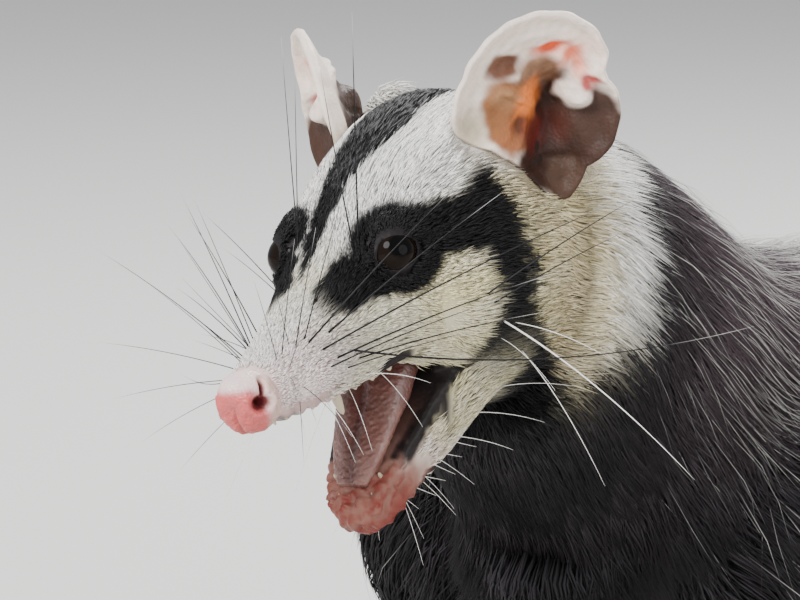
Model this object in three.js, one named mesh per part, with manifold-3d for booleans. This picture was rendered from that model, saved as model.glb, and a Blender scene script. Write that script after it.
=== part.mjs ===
// A white-eared opossum, Didelphis albiventris, as a still, life-size model.
// It stands on four feet with its head low, its mouth open and its tail laid on the floor.
// Millimetres, +Z up. The animal faces -X, its left side is -Y, and its tail runs towards +X.
import * as THREE from "three";
import { mergeVertices } from "three/addons/utils/BufferGeometryUtils.js";
import Module from "manifold-3d";

const wasm = await Module();
wasm.setup();

// Driving dimensions
const GAP = 0.35; // air left between two pieces that meet
const SIMPLIFY = 0.08; // how far merging small facets may move a surface
const HEAD_HEIGHT = 150; // the head's origin, between the ear roots, above the floor
const HEAD_ORIGIN_BEHIND_NOSE = 80; // along the head, from the nose tip
const HEAD_YAW = 5.4; // degrees to its left
const HEAD_PITCH = -15.7; // nose down
const HEAD_ROLL = -7; // left side up
const TORSO_CORE = 7; // dense underfur over the skin, half the coat's depth
const TORSO_LOCK_RISE = 8; // how far a lock's tip stands off the core
const NECK_CORE = 6;
const LEG_CORE = 3;
const TAIL_CORE = 3;
const FACE_FUR = 1.2; // short fur over the skull's flesh
const EYE_RADIUS = 5.2;
const EYE_BEHIND_NOSE = 49;
const EYE_SIDE = 12;
const EYE_HEIGHT = 16.4;
const LID_RADIUS = 4.5;
const LID_THICKNESS = 1.5;
const JAW_PIVOT_BEHIND_NOSE = 74;
const JAW_PIVOT_HEIGHT = 3;
const JAW_DROP = 38; // degrees below the head's axis
const LIP_RADIUS = 1.5;
const EAR_WIDTH = 16.5; // half the ear's breadth
const EAR_HEIGHT = 15.8; // half its height
const EAR_CENTRE = [89.5, 27.8, 33.6]; // behind the nose, to the side and up
const EAR_DEPTH = 9;
const EAR_THICKNESS = 1.3;
const DIGIT_RADIUS = 2.5;
const CLAW_LENGTH = 5;

const V = (x, y, z) => new THREE.Vector3(x, y, z);
const rad = THREE.MathUtils.degToRad;
const lerp = THREE.MathUtils.lerp;

// A seeded random number from 0 to 1, so that every build is the same
function seededRandom(seed) {
  let state = seed;
  return () => {
    state = (state + 0x6d2b79f5) | 0;
    let t = Math.imul(state ^ (state >>> 15), 1 | state);
    t = (t + Math.imul(t ^ (t >>> 7), 61 | t)) ^ t;
    return ((t ^ (t >>> 14)) >>> 0) / 4294967296;
  };
}

// Solids from closed three.js geometry, and back
function solidFrom(geometry) {
  for (const unused of ["normal", "uv"]) geometry.deleteAttribute(unused);
  const merged = mergeVertices(geometry, 1e-4);
  const triVerts = new Uint32Array(merged.index.array);
  const vertProperties = merged.attributes.position.array;
  const made = new wasm.Manifold(new wasm.Mesh({ numProp: 3, vertProperties, triVerts }));
  if (made.volume() > 0) return made;
  for (let i = 0; i < triVerts.length; i += 3) {
    [triVerts[i + 1], triVerts[i + 2]] = [triVerts[i + 2], triVerts[i + 1]];
  }
  return new wasm.Manifold(new wasm.Mesh({ numProp: 3, vertProperties, triVerts }));
}

const join = (solids) => wasm.Manifold.union(solids);

function largestBody(solid) {
  const bodies = solid.decompose();
  return bodies.reduce((best, body) => (body.volume() > best.volume() ? body : best));
}

// A closed surface from rings of points, with a pointed or flat end at each side
function closedRings(rings, startPoint, endPoint) {
  const sides = rings[0].length;
  const points = [startPoint, ...rings.flat(), endPoint];
  const index = [];
  const at = (ring, side) => 1 + ring * sides + (side % sides);
  const last = rings.length - 1;
  for (let side = 0; side < sides; side++) {
    index.push(0, at(0, side + 1), at(0, side));
    index.push(points.length - 1, at(last, side), at(last, side + 1));
    for (let ring = 0; ring < last; ring++) {
      index.push(at(ring, side), at(ring, side + 1), at(ring + 1, side + 1));
      index.push(at(ring, side), at(ring + 1, side + 1), at(ring + 1, side));
    }
  }
  return solidFrom(new THREE.BufferGeometry().setFromPoints(points).setIndex(index));
}

const smoothLine = (points) => new THREE.CatmullRomCurve3(points, false, "catmullrom", 0.5);

// A body part as rounded sections along a smooth line. A station is [x, y, z, half width, rise, fall]:
// its centre, and how far the section reaches to each side, above and below it.
class Form {
  constructor({ stations, matrix, side = V(0, 1, 0), along = null, power = 2.2, sides = 20, steps = 12 }) {
    this.line = smoothLine(stations.map((s) => V(s[0], s[1], s[2])));
    this.size = smoothLine(stations.map((s) => V(s[3], s[4], s[5])));
    Object.assign(this, { matrix: matrix ?? new THREE.Matrix4(), side, along, power, sides, steps });
  }

  // The axes of the section at share u of the line: along it, to the side and up
  frame(u) {
    const along = this.along ? this.along.clone() : this.line.getTangent(u);
    const side = this.side.clone().addScaledVector(along, -this.side.dot(along)).normalize();
    return { along, side, up: along.clone().cross(side) };
  }

  // The point at share u along the line and angle v round it, standing off by the coat's depth
  point(u, v, depth = 0) {
    const t = Math.min(1, Math.max(0, u));
    const { along, side, up } = this.frame(t);
    const size = this.size.getPoint(t);
    const squash = (x) => Math.sign(x) * Math.abs(x) ** (2 / this.power);
    const height = Math.sin(v) > 0 ? size.y : size.z;
    const past = (u - t) * this.length();
    return this.line
      .getPoint(t)
      .addScaledVector(along, past)
      .addScaledVector(side, (size.x + depth) * squash(Math.cos(v)))
      .addScaledVector(up, (height + depth) * squash(Math.sin(v)))
      .applyMatrix4(this.matrix);
  }

  length() {
    this.lineLength ??= this.line.getLength();
    return this.lineLength;
  }

  // The outward normal and the two directions along the surface, each per unit of u or v
  surface(u, v, depth) {
    const [du, dv] = [0.01, 0.12];
    const t = Math.min(1 - 2 * du, Math.max(2 * du, u));
    const alongU = this.point(t + du, v, depth).sub(this.point(t - du, v, depth)).divideScalar(2 * du);
    const alongV = this.point(t, v + dv, depth).sub(this.point(t, v - dv, depth)).divideScalar(2 * dv);
    return { alongU, alongV, normal: alongV.clone().cross(alongU).normalize() };
  }

  solid(depth = 0) {
    const rings = [];
    for (let step = 0; step <= this.steps; step++) {
      const u = step / this.steps;
      const shift = step === 0 ? -depth / this.length() : step === this.steps ? depth / this.length() : 0;
      const ring = [];
      for (let side = 0; side < this.sides; side++) {
        ring.push(this.point(u + shift, (2 * Math.PI * side) / this.sides, depth));
      }
      rings.push(ring);
    }
    const centre = (ring) => ring.reduce((sum, p) => sum.add(p), V(0, 0, 0)).divideScalar(ring.length);
    return closedRings(rings, centre(rings[0]), centre(rings[this.steps]));
  }
}

// A flat, tapered lock of hair that leaves a form at (u, v), follows its surface and rises off it
const LOCK_PROFILE = [
  { at: 0, width: 0.8, thick: 1 },
  { at: 0.4, width: 1, thick: 0.9 },
  { at: 0.78, width: 0.62, thick: 0.6 },
];
const LOCK_THICKNESS = 1.7; // half a lock's thickness at its root
const LOCK_SINK = 3.5; // how deep its root is set
const LOCK_CLEARANCE = 1.8; // a twisted lock needs more than the gap to clear it all over

// How far a lock runs along the form and round it, kept from stretching in the crook of a bend
function reach(form, { u, v, length, droop, depth }) {
  const { alongU, alongV } = form.surface(u, v, depth);
  const most = (1.25 * length) / form.length();
  return {
    du: Math.min(most, (length * Math.cos(droop)) / alongU.length()),
    dv: (length * Math.sin(droop)) / alongV.length(),
  };
}

function lockSolid(form, lock, swell) {
  const { u, v, width, rise, depth } = lock;
  const { du, dv } = reach(form, lock);
  const spine = (t) => {
    const height = -LOCK_SINK + (LOCK_SINK + rise) * Math.max(0, t) ** 0.75;
    const normal = form.surface(u + du * t, v + dv * t, depth).normal;
    return form.point(u + du * t, v + dv * t, depth).addScaledVector(normal, height);
  };
  const normal = form.surface(u + du / 2, v + dv / 2, depth).normal;
  const rings = LOCK_PROFILE.map(({ at, width: share, thick }) => {
    const centre = spine(at);
    const along = spine(at + 0.05).sub(spine(at - 0.05)).normalize();
    const across = along.clone().cross(normal).normalize();
    const out = across.clone().cross(along);
    const half = width * share + swell * LOCK_CLEARANCE;
    const high = LOCK_THICKNESS * thick + swell * LOCK_CLEARANCE;
    return [
      centre.clone().addScaledVector(across, half),
      centre.clone().addScaledVector(out, high),
      centre.clone().addScaledVector(across, -half),
      centre.clone().addScaledVector(out, -high),
    ];
  });
  const tip = spine(1);
  const heading = tip.clone().sub(spine(LOCK_PROFILE.at(-1).at)).normalize();
  return closedRings(rings, spine(0), tip.addScaledVector(heading, swell * 5));
}

// Rows of locks round a form, each row set between those of the last, hanging lower down the sides
function lockRows(form, coat, random) {
  const locks = [];
  for (let row = 0; row < coat.rows; row++) {
    const u = lerp(coat.from, coat.to, coat.rows > 1 ? row / (coat.rows - 1) : 0);
    const [low, high] = coat.round(u);
    const size = form.size.getPoint(u);
    const arc = ((size.x + size.y) / 2 + coat.depth) * (high - low);
    const count = Math.max(2, Math.round(arc / (coat.width * 2.2)));
    for (let i = 0; i < count; i++) {
      const shift = row % 2 ? 0.25 : -0.25;
      const v = lerp(low, high, (i + 0.5 + shift) / count) + (random() - 0.5) * 0.06;
      const down = Math.cos(v) > 0 ? -1 : 1;
      locks.push({
        u: u + (random() - 0.5) * 0.012,
        v,
        length: coat.length * (0.88 + 0.24 * random()),
        width: coat.width * (0.92 + 0.16 * random()),
        droop: down * rad(coat.droop) * Math.abs(Math.cos(v)),
        rise: coat.rise * (i % 2 ? 1 : 0.72) * (0.9 + 0.2 * random()),
        depth: coat.depth,
      });
    }
  }
  return locks;
}

// Whether a lock's far half lies on one of the given forms, which grow locks of their own
function liesOn(form, lock, others) {
  const { du, dv } = reach(form, lock);
  return [0.5, 0.9].some((t) => {
    const point = form.point(lock.u + du * t, lock.v + dv * t, lock.depth + lock.rise * t);
    return others.some((other) =>
      [0.1, 0.2, 0.3, 0.4, 0.5].some(
        (at) => point.distanceTo(other.line.getPoint(at)) < other.size.getPoint(at).x + LEG_CORE,
      ),
    );
  });
}

// A named piece: its solid, and the same solid swollen by the gap, which clears its neighbours
const pieces = new Map();
const FINISH = {
  darkFur: { color: 0x2a2628, roughness: 0.9 },
  creamFur: { color: 0xcfc4a2, roughness: 0.9 },
  faceFur: { color: 0xb9b29a, roughness: 0.9 },
  pinkSkin: { color: 0xd98a80, roughness: 0.45 },
  earSkin: { color: 0xe8d8cc, roughness: 0.6 },
  footSkin: { color: 0x4a3c3a, roughness: 0.7 },
  eye: { color: 0x0b0a0a, roughness: 0.05 },
  tailSkin: { color: 0xb8a79c, roughness: 0.7 },
};

function addPiece(name, finish, make, neighbours = []) {
  let solid = make(0);
  for (const other of neighbours) solid = solid.subtract(pieces.get(other).clear());
  solid = largestBody(solid.simplify(SIMPLIFY));
  let swollen = null;
  const clear = () => (swollen ??= make(GAP));
  pieces.set(name, { solid, clear, finish });
}

// Coated forms: the core and its locks
function coated(form, depth, locks) {
  return (swell) => join([form.solid(depth + swell), ...locks.map((lock) => lockSolid(form, lock, swell))]);
}

// The head's own axes: x runs back from between the ears, y to its right, z up
const headMatrix = new THREE.Matrix4()
  .makeRotationFromEuler(new THREE.Euler(rad(HEAD_ROLL), rad(HEAD_PITCH), rad(HEAD_YAW), "ZYX"))
  .setPosition(0, 0, HEAD_HEIGHT);
const behindNose = (s) => s - HEAD_ORIGIN_BEHIND_NOSE;

// A section of the head from its distance behind the nose: [distance, half width, top, middle, bottom]
const headStation = ([s, half, top, middle, bottom]) => [
  behindNose(s), 0, middle, half, top - middle, middle - bottom,
];
const HEAD_SECTIONS = [
  [5.5, 3.8, 7.6, 2.8, -1.8],
  [9, 5.6, 8.6, 2.6, -3],
  [16, 7.6, 10.4, 2, -4.8],
  [26, 9.4, 13.4, 2, -6],
  [36, 12.2, 17.2, 3.6, -6.8],
  [45, 15.8, 21.8, 5.6, -7.6],
  [52, 19.6, 25.8, 5.6, -11],
  [60, 22.4, 29.2, 4.6, -18],
  [72, 25.2, 33, 2.6, -25],
  [84, 25.4, 34.4, 2.6, -26],
  [95, 22, 31.6, 5, -20],
  [103, 12, 22, 8, -8],
];
const skull = new Form({
  stations: HEAD_SECTIONS.map(headStation),
  matrix: headMatrix,
  along: V(1, 0, 0),
  power: 2.1,
  sides: 20,
  steps: 15,
});

// The open mouth behind the lips, narrowing to the throat
const MOUTH_SECTIONS = [
  [40, 9, -4, -14, -30],
  [50, 11, -4, -14, -30],
  [58, 10, -5, -13, -24],
  [66, 7, -7, -12, -18],
  [70, 2, -10, -12, -14],
];
const mouth = new Form({
  stations: MOUTH_SECTIONS.map(headStation),
  matrix: headMatrix,
  along: V(1, 0, 0),
  sides: 14,
  steps: 8,
});

// The lower jaw's own axes: x runs from its tip back to the pivot, turned down by the open mouth
const jawMatrix = headMatrix.clone().multiply(
  new THREE.Matrix4()
    .makeRotationY(rad(-JAW_DROP))
    .setPosition(behindNose(JAW_PIVOT_BEHIND_NOSE), 0, JAW_PIVOT_HEIGHT),
);
// A section of the jaw from its distance to the pivot: [distance, half width, top, bottom]
const jawStation = ([t, half, top, bottom]) => {
  const middle = (top + bottom) / 2;
  return [-t, 0, middle, half, top - middle, middle - bottom];
};
const JAW_SECTIONS = [
  [58, 3.0, -0.8, -4.6],
  [55, 5.8, 1.2, -7.2],
  [48, 8.2, 2.2, -9.6],
  [38, 11.0, 2.0, -12.6],
  [26, 14.6, 2.0, -15.6],
  [14, 17.6, 1.0, -18.6],
  [4, 16.6, 0, -17],
];
const jaw = new Form({
  stations: JAW_SECTIONS.map(jawStation),
  matrix: jawMatrix,
  along: V(1, 0, 0),
  power: 2.6,
  sides: 12,
  steps: 7,
});
const TONGUE_SECTIONS = [
  [51, 3.4, 4.2, 1.0],
  [46, 5.6, 5.8, 1.0],
  [37, 7.4, 7.6, 0.5],
  [26, 8.4, 9.8, 0],
  [16, 7.6, 11, 0],
  [11, 3, 9, 4],
];
const tongue = new Form({
  stations: TONGUE_SECTIONS.map(jawStation),
  matrix: jawMatrix,
  along: V(1, 0, 0),
  sides: 12,
  steps: 9,
});

// A lip: a soft roll along a jaw's edge, thickest halfway, from share `from` to share `to` of the jaw
function lip(form, { from, to, angle, depth }, hand, swell) {
  const v = hand > 0 ? angle : Math.PI - angle;
  const stations = [0, 0.33, 0.67, 1].map((share) => {
    const at = form.point(lerp(from, to, share), v, depth);
    const radius = LIP_RADIUS * (0.55 + 0.45 * Math.sin(Math.PI * share)) + swell;
    return [...at.toArray(), radius, radius, radius];
  });
  return new Form({ stations, sides: 4, steps: 3 }).solid();
}
const UPPER_LIP = { from: 0.18, to: 0.5, angle: -0.23 * Math.PI, depth: FACE_FUR - LIP_RADIUS * 0.3 };
const LOWER_LIP = { from: 0.16, to: 0.62, angle: 0.2 * Math.PI, depth: -LIP_RADIUS * 0.3 };

// A tooth: a cone from a root point towards a tip, both in the given axes
function tooth(matrix, root, tip, radius, swell) {
  const along = tip.clone().sub(root).normalize();
  const form = new Form({
    stations: [
      [...root.toArray(), radius, radius, radius],
      [...root.clone().lerp(tip, 0.5).toArray(), radius * 0.75, radius * 0.75, radius * 0.75],
      [...tip.toArray(), 0.3, 0.3, 0.3],
    ],
    matrix,
    side: V(1, 0, 0),
    along,
    sides: 5,
    steps: 2,
  });
  return form.solid(swell);
}

// Teeth along both jaws: [distance behind the nose or to the pivot, half the row's spread, length, radius]
const UPPER_TEETH = [
  [10.5, 3.0, 1.8, 0.8],
  [19, 6.8, 4.4, 1.4],
  [27, 8.0, 2.0, 1.6],
  [34, 9.4, 2.2, 1.7],
  [41, 10.8, 2.2, 1.9],
];
const LOWER_TEETH = [
  [54, 3.4, 1.8, 0.8],
  [49, 6.4, 3.6, 1.2],
  [43, 8.2, 1.8, 1.4],
  [36, 10.2, 1.9, 1.6],
];
const TOOTH_ROOT = 3;
const UPPER_GUM = -4.6; // the palate's edge in the head's axes
const LOWER_GUM = 1.0; // the jaw's edge in its own axes
function upperTeeth(swell) {
  return UPPER_TEETH.flatMap(([s, y, length, radius]) =>
    [-1, 1].map((hand) =>
      tooth(
        headMatrix,
        V(behindNose(s), hand * (y - 1.2), UPPER_GUM + TOOTH_ROOT),
        V(behindNose(s), hand * (y - 0.6), UPPER_GUM - length),
        radius,
        swell,
      ),
    ),
  );
}
function lowerTeeth(swell) {
  return LOWER_TEETH.flatMap(([t, y, length, radius]) =>
    [-1, 1].map((hand) =>
      tooth(
        jawMatrix,
        V(-t, hand * (y - 1), LOWER_GUM - TOOTH_ROOT),
        V(-t, hand * (y - 1), LOWER_GUM + length),
        radius,
        swell,
      ),
    ),
  );
}

// Eyes and lids, one on each side: hand is -1 on the animal's left
const eyeCentre = (hand) => V(behindNose(EYE_BEHIND_NOSE), hand * EYE_SIDE, EYE_HEIGHT);
const gaze = (hand) => V(-0.42, hand * 0.78, 0.46).normalize();
function eyeSolid(hand, swell) {
  const ball = new THREE.SphereGeometry(EYE_RADIUS + swell, 12, 8);
  const at = eyeCentre(hand);
  return solidFrom(ball.translate(at.x, at.y, at.z).applyMatrix4(headMatrix));
}
function lidSolid(hand) {
  const ring = new THREE.TorusGeometry(LID_RADIUS, LID_THICKNESS, 5, 14);
  const turn = new THREE.Quaternion().setFromUnitVectors(V(0, 0, 1), gaze(hand));
  const at = eyeCentre(hand).addScaledVector(gaze(hand), EYE_RADIUS - 2);
  return solidFrom(ring.applyQuaternion(turn).translate(at.x, at.y, at.z).applyMatrix4(headMatrix));
}

// The nose pad: a bulb in front of the muzzle with a comma-shaped nostril on each side
const NOSE_SECTIONS = [
  [1.4, 2.2, 5.8, 3.4, 1.0],
  [2.2, 3.8, 7.6, 3.2, -1.6],
  [4.2, 5.0, 8.8, 3, -3.2],
  [6.8, 5.8, 9, 2.8, -3.8],
  [9.8, 5.6, 8.4, 2.6, -3.4],
];
const nosePad = new Form({
  stations: NOSE_SECTIONS.map(headStation),
  matrix: headMatrix,
  along: V(1, 0, 0),
  sides: 14,
  steps: 6,
});
function nostril(hand) {
  const hole = new THREE.SphereGeometry(1.8, 8, 5).scale(1.3, 1, 0.9);
  const slit = new THREE.SphereGeometry(1.1, 6, 5).scale(1, 1, 2.6);
  return join([
    solidFrom(hole.translate(behindNose(3.8), hand * 4.9, 2.6).applyMatrix4(headMatrix)),
    solidFrom(slit.translate(behindNose(5.6), hand * 5.9, 4.4).applyMatrix4(headMatrix)),
  ]);
}

// An ear: a round dish of skin with a folded rim, on a solid root
const EAR_RINGS = [0.4, 0.75, 1];
const EAR_SIDES = 22;
function earAxes(hand) {
  const up = V(0.1, hand * 0.22, 0.97).normalize();
  const face = V(-0.66, hand * 0.72, 0.1);
  face.addScaledVector(up, -face.dot(up)).normalize();
  return { up, face, across: up.clone().cross(face).multiplyScalar(hand) };
}
function earSurface(hand, share, angle, inside) {
  const { up, face, across } = earAxes(hand);
  const centre = V(behindNose(EAR_CENTRE[0]), hand * EAR_CENTRE[1], EAR_CENTRE[2]);
  const notch = 2.6 * Math.exp(-(((angle - 0.42) / 0.16) ** 2));
  const lobe = 1.5 * Math.sin(3 * angle);
  const wide = (EAR_WIDTH - notch + lobe * 0.5) * share;
  const tall = (EAR_HEIGHT - notch + lobe * 0.5) * share;
  const bowl = EAR_DEPTH * (1 - share ** 2);
  const rimFold = 3 * Math.max(0, share - 0.78) * Math.max(0, Math.sin(angle)) * 4;
  const wall = inside ? 0 : EAR_THICKNESS;
  return centre
    .addScaledVector(across, (wide + wall * 0.2 * share) * Math.cos(angle))
    .addScaledVector(up, (tall + wall * 0.2 * share) * Math.sin(angle))
    .addScaledVector(face, -bowl - rimFold - wall)
    .applyMatrix4(headMatrix);
}
function earSolid(hand, swell) {
  const points = [earSurface(hand, 0, 0, true)];
  const index = [];
  const rings = [true, false].map((inside) =>
    EAR_RINGS.map((share) => {
      const first = points.length;
      for (let i = 0; i < EAR_SIDES; i++) {
        points.push(earSurface(hand, share, (2 * Math.PI * i) / EAR_SIDES, inside));
      }
      return first;
    }),
  );
  points.push(earSurface(hand, 0, 0, false));
  const back = points.length - 1;
  const [front, rear] = rings;
  for (let i = 0; i < EAR_SIDES; i++) {
    const next = (i + 1) % EAR_SIDES;
    index.push(0, front[0] + i, front[0] + next);
    index.push(back, rear[0] + next, rear[0] + i);
    for (let ring = 0; ring + 1 < EAR_RINGS.length; ring++) {
      const [a, b] = [front[ring], front[ring + 1]];
      index.push(a + i, b + i, b + next, a + i, b + next, a + next);
      const [c, d] = [rear[ring], rear[ring + 1]];
      index.push(c + i, d + next, d + i, c + i, c + next, d + next);
    }
    const [e, f] = [front.at(-1), rear.at(-1)];
    index.push(e + i, f + i, f + next, e + i, f + next, e + next);
  }
  const dish = solidFrom(new THREE.BufferGeometry().setFromPoints(points).setIndex(index));
  const root = new Form({
    stations: [
      [behindNose(84), hand * 14, 12, 9, 9, 9],
      [behindNose(90), hand * 16.5, 19, 8, 8, 8],
      [behindNose(94.5), hand * 19, 26, 6.5, 6.5, 6.5],
      [behindNose(96.5), hand * 20.8, 31, 4.4, 4.4, 4.4],
    ],
    matrix: headMatrix,
    side: V(1, 0, 0),
    sides: 10,
    steps: 4,
  });
  return join([dish, root.solid(swell)]);
}

// The neck, from inside the head to inside the shoulders
const neck = new Form({
  stations: [
    [6, 0, 154, 17, 18, 24],
    [22, 0, 150, 25, 27, 32],
    [42, 0, 138, 30, 28, 38],
    [62, 0, 122, 33, 28, 40],
    [74, 0, 112, 27, 24, 28],
  ],
  sides: 20,
  steps: 7,
});

// The torso's sections, skin to skin: [x, half width, top, bottom]
const torsoStation = ([x, half, top, bottom]) => {
  const middle = (top + bottom) / 2;
  return [x, 0, middle, half, top - middle, middle - bottom];
};
const TORSO_SECTIONS = [
  [36, 16, 114, 78],
  [44, 29, 130, 62],
  [62, 38, 142, 50],
  [86, 41, 142, 46],
  [120, 41, 135, 44],
  [160, 42, 133, 44],
  [200, 45, 133, 46],
  [238, 43, 127, 52],
  [268, 34, 115, 66],
  [290, 23, 102, 78],
  [304, 12, 94, 82],
];
const torso = new Form({
  stations: TORSO_SECTIONS.map(torsoStation),
  along: V(1, 0, 0),
  power: 2.2,
  sides: 20,
  steps: 10,
});

// Legs as round lines from inside the body to the ankle: [x, y, z, radius]
const round = ([x, y, z, radius]) => [x, y, z, radius, radius, radius];
const legForm = (stations) => new Form({ stations: stations.map(round), sides: 12, steps: 8 });
const FORELEGS = {
  left: [
    [74, -22, 112, 11], [77, -36, 92, 17.5], [90, -43, 66, 12.5], [85, -43, 44, 9], [74, -42, 21, 6.6],
    [69, -42, 9, 6],
  ],
  right: [
    [68, 24, 110, 11], [61, 41, 88, 18], [68, 47, 64, 12.5], [58, 46, 44, 9], [49, 45, 21, 6.6],
    [44, 45, 9, 6],
  ],
};
const HIND_LEGS = {
  left: [
    [254, -18, 106, 13], [247, -33, 88, 23], [227, -43, 62, 17], [236, -45, 40, 10.5], [250, -44, 22, 7.5],
    [253, -44, 11, 6.8],
  ],
  right: [
    [252, 18, 106, 13], [241, 33, 88, 23], [217, 43, 62, 17], [224, 45, 40, 10.5], [236, 44, 22, 7.5],
    [239, 44, 11, 6.8],
  ],
};

// Feet: a palm, digits in a fan and a claw on each. They are cut flat at the floor.
const SOLE = 0.8; // how far the pads would reach below the floor before the cut
function digit(root, heading, length, clawed, swell) {
  const reach = (share, height) =>
    V(root.x - Math.cos(heading) * length * share, root.y + Math.sin(heading) * length * share, height);
  const toe = [0, 0.45, 0.8, 1].map((share, i) => {
    const radius = DIGIT_RADIUS * [1.1, 1, 0.95, 0.6][i];
    return round([...reach(share, [5, 5.4, 2.6, 2][i]).toArray(), radius]);
  });
  const solids = [new Form({ stations: toe, sides: 5, steps: 2 }).solid(swell)];
  if (clawed) {
    const share = CLAW_LENGTH / length;
    const claw = [0.92, 0.92 + share * 0.6, 0.92 + share].map((at, i) => {
      const radius = [1.1, 0.8, 0.3][i];
      return round([...reach(at, [2.6, 2.2, 0.7][i]).toArray(), radius]);
    });
    solids.push(new Form({ stations: claw, sides: 4, steps: 1 }).solid(swell));
  }
  return solids;
}
function flatOnFloor(solid, swell) {
  return solid.trimByPlane([0, 0, 1], -swell);
}
const FORE_DIGITS = [[-58, 13], [-28, 16], [-2, 17], [24, 16], [52, 13]];
const HIND_DIGITS = [[-26, 17], [-9, 19], [8, 19], [25, 17]];
function foreFoot(hand, ankle) {
  return (swell) => {
    const [x, y] = ankle;
    const palm = new Form({
      stations: [
        [x + 7, y, 5.5, 4, 4, 5.5 + SOLE],
        [x, y, 6.5, 7.5, 5, 6.5 + SOLE],
        [x - 8, y, 5, 8.5, 4, 5 + SOLE],
        [x - 14, y, 4, 6, 3, 4 + SOLE],
      ],
      along: V(1, 0, 0),
      sides: 10,
      steps: 4,
    });
    const toes = FORE_DIGITS.flatMap(([angle, length]) =>
      digit(V(x - 6, y, 5), rad(hand * angle), length, true, swell),
    );
    return flatOnFloor(join([palm.solid(swell), ...toes]), swell);
  };
}
function hindFoot(hand, ankle) {
  return (swell) => {
    const [x, y] = ankle;
    const sole = new Form({
      stations: [
        [x + 8, y, 6, 4.5, 4.5, 6 + SOLE],
        [x + 2, y, 7, 6.5, 5.5, 7 + SOLE],
        [x - 16, y, 5.6, 7, 4.6, 5.6 + SOLE],
        [x - 30, y, 5, 9, 4, 5 + SOLE],
        [x - 37, y, 4, 7, 3, 4 + SOLE],
      ],
      along: V(1, 0, 0),
      sides: 10,
      steps: 5,
    });
    const toes = HIND_DIGITS.flatMap(([angle, length]) =>
      digit(V(x - 29, y, 5), rad(hand * angle), length, true, swell),
    );
    const thumb = digit(V(x - 20, y, 5), rad(-hand * 70), 17, false, swell);
    return flatOnFloor(join([sole.solid(swell), ...toes, ...thumb]), swell);
  };
}

// The tail: down from the rump, then laid on the floor in a slow bend
const TAIL_LINE = [
  [290, 0, 92, 13],
  [312, 0, 80, 12],
  [338, 1, 58, 10.5],
  [364, 4, 32, 9],
  [392, 10, 12.5, 8],
  [424, 20, 6.6, 7.2],
  [464, 30, 5.6, 6.2],
  [506, 32, 4.6, 5.2],
  [548, 22, 3.6, 4.2],
  [584, 4, 2.6, 3.2],
  [606, -12, 1.8, 2.2],
];
const tailForm = (first, last, sides, steps) =>
  new Form({ stations: TAIL_LINE.slice(first, last).map(round), sides, steps });
const tailLengths = [
  ["tail_root", tailForm(0, 4, 12, 6)],
  ["tail_middle", tailForm(3, 7, 12, 10)],
  ["tail_end", tailForm(6, 11, 10, 12)],
];

// Coats of locks
const allRound = () => [-Math.PI * 0.3, Math.PI * 1.3];
const outerSide = () => [-Math.PI * 0.5, Math.PI * 0.5];
const innerSide = () => [Math.PI * 0.5, Math.PI * 1.5];
const torsoCoat = {
  rows: 6, from: 0.12, to: 0.86, round: allRound, width: 12, length: 60,
  droop: 42, rise: TORSO_LOCK_RISE, depth: TORSO_CORE,
};
const neckCoat = {
  rows: 3, from: 0.3, to: 0.75, round: allRound, width: 11, length: 42, droop: 25, rise: 7, depth: NECK_CORE,
};
const legCoat = {
  rows: 3, from: 0.14, to: 0.46, round: outerSide, width: 9.5, length: 32, droop: 0, rise: 9, depth: LEG_CORE,
};
const tailCoat = {
  rows: 2, from: 0.1, to: 0.45, round: allRound, width: 9, length: 32, droop: 0, rise: 4, depth: TAIL_CORE,
};
const hands = { left: -1, right: 1 };
const legs = Object.fromEntries(
  Object.keys(hands).map((name) => [
    name,
    { fore: legForm(FORELEGS[name]), hind: legForm(HIND_LEGS[name]) },
  ]),
);
const legForms = Object.values(legs).flatMap(({ fore, hind }) => [fore, hind]);
const clearOfLegs = (form) => (lock) => !liesOn(form, lock, legForms);
const torsoLocks = lockRows(torso, torsoCoat, seededRandom(11)).filter(clearOfLegs(torso));
const neckLocks = lockRows(neck, neckCoat, seededRandom(23)).filter(clearOfLegs(neck));

// Assembly, each piece cut clear of those made before it
const openMouth = mouth.solid();
for (const [name, hand] of Object.entries(hands)) {
  addPiece(`eye_${name}`, "eye", (swell) => eyeSolid(hand, swell));
}
addPiece("head", "faceFur", (swell) => {
  const lips = [-1, 1].map((hand) => lip(skull, UPPER_LIP, hand, swell));
  const flesh = join([skull.solid(FACE_FUR + swell), lidSolid(-1), lidSolid(1), ...lips]);
  return join([flesh.subtract(openMouth), ...upperTeeth(swell)]);
}, ["eye_left", "eye_right"]);
const nostrils = join([nostril(-1), nostril(1)]);
addPiece("nose", "pinkSkin", (swell) => nosePad.solid(swell).subtract(nostrils), ["head"]);
addPiece("tongue", "pinkSkin", (swell) => tongue.solid(swell), ["head"]);
addPiece("lower_jaw", "faceFur", (swell) => {
  const lips = [-1, 1].map((hand) => lip(jaw, LOWER_LIP, hand, swell));
  return join([jaw.solid(swell), ...lips, ...lowerTeeth(swell)]);
}, ["head", "tongue"]);
for (const [name, hand] of Object.entries(hands)) {
  addPiece(`ear_${name}`, "earSkin", (swell) => earSolid(hand, swell), ["head"]);
}
const aroundNeck = ["head", "lower_jaw", "ear_left", "ear_right"];
addPiece("neck", "creamFur", coated(neck, NECK_CORE, neckLocks), aroundNeck);
addPiece("torso", "darkFur", coated(torso, TORSO_CORE, torsoLocks), ["neck", "head", "lower_jaw"]);
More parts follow.
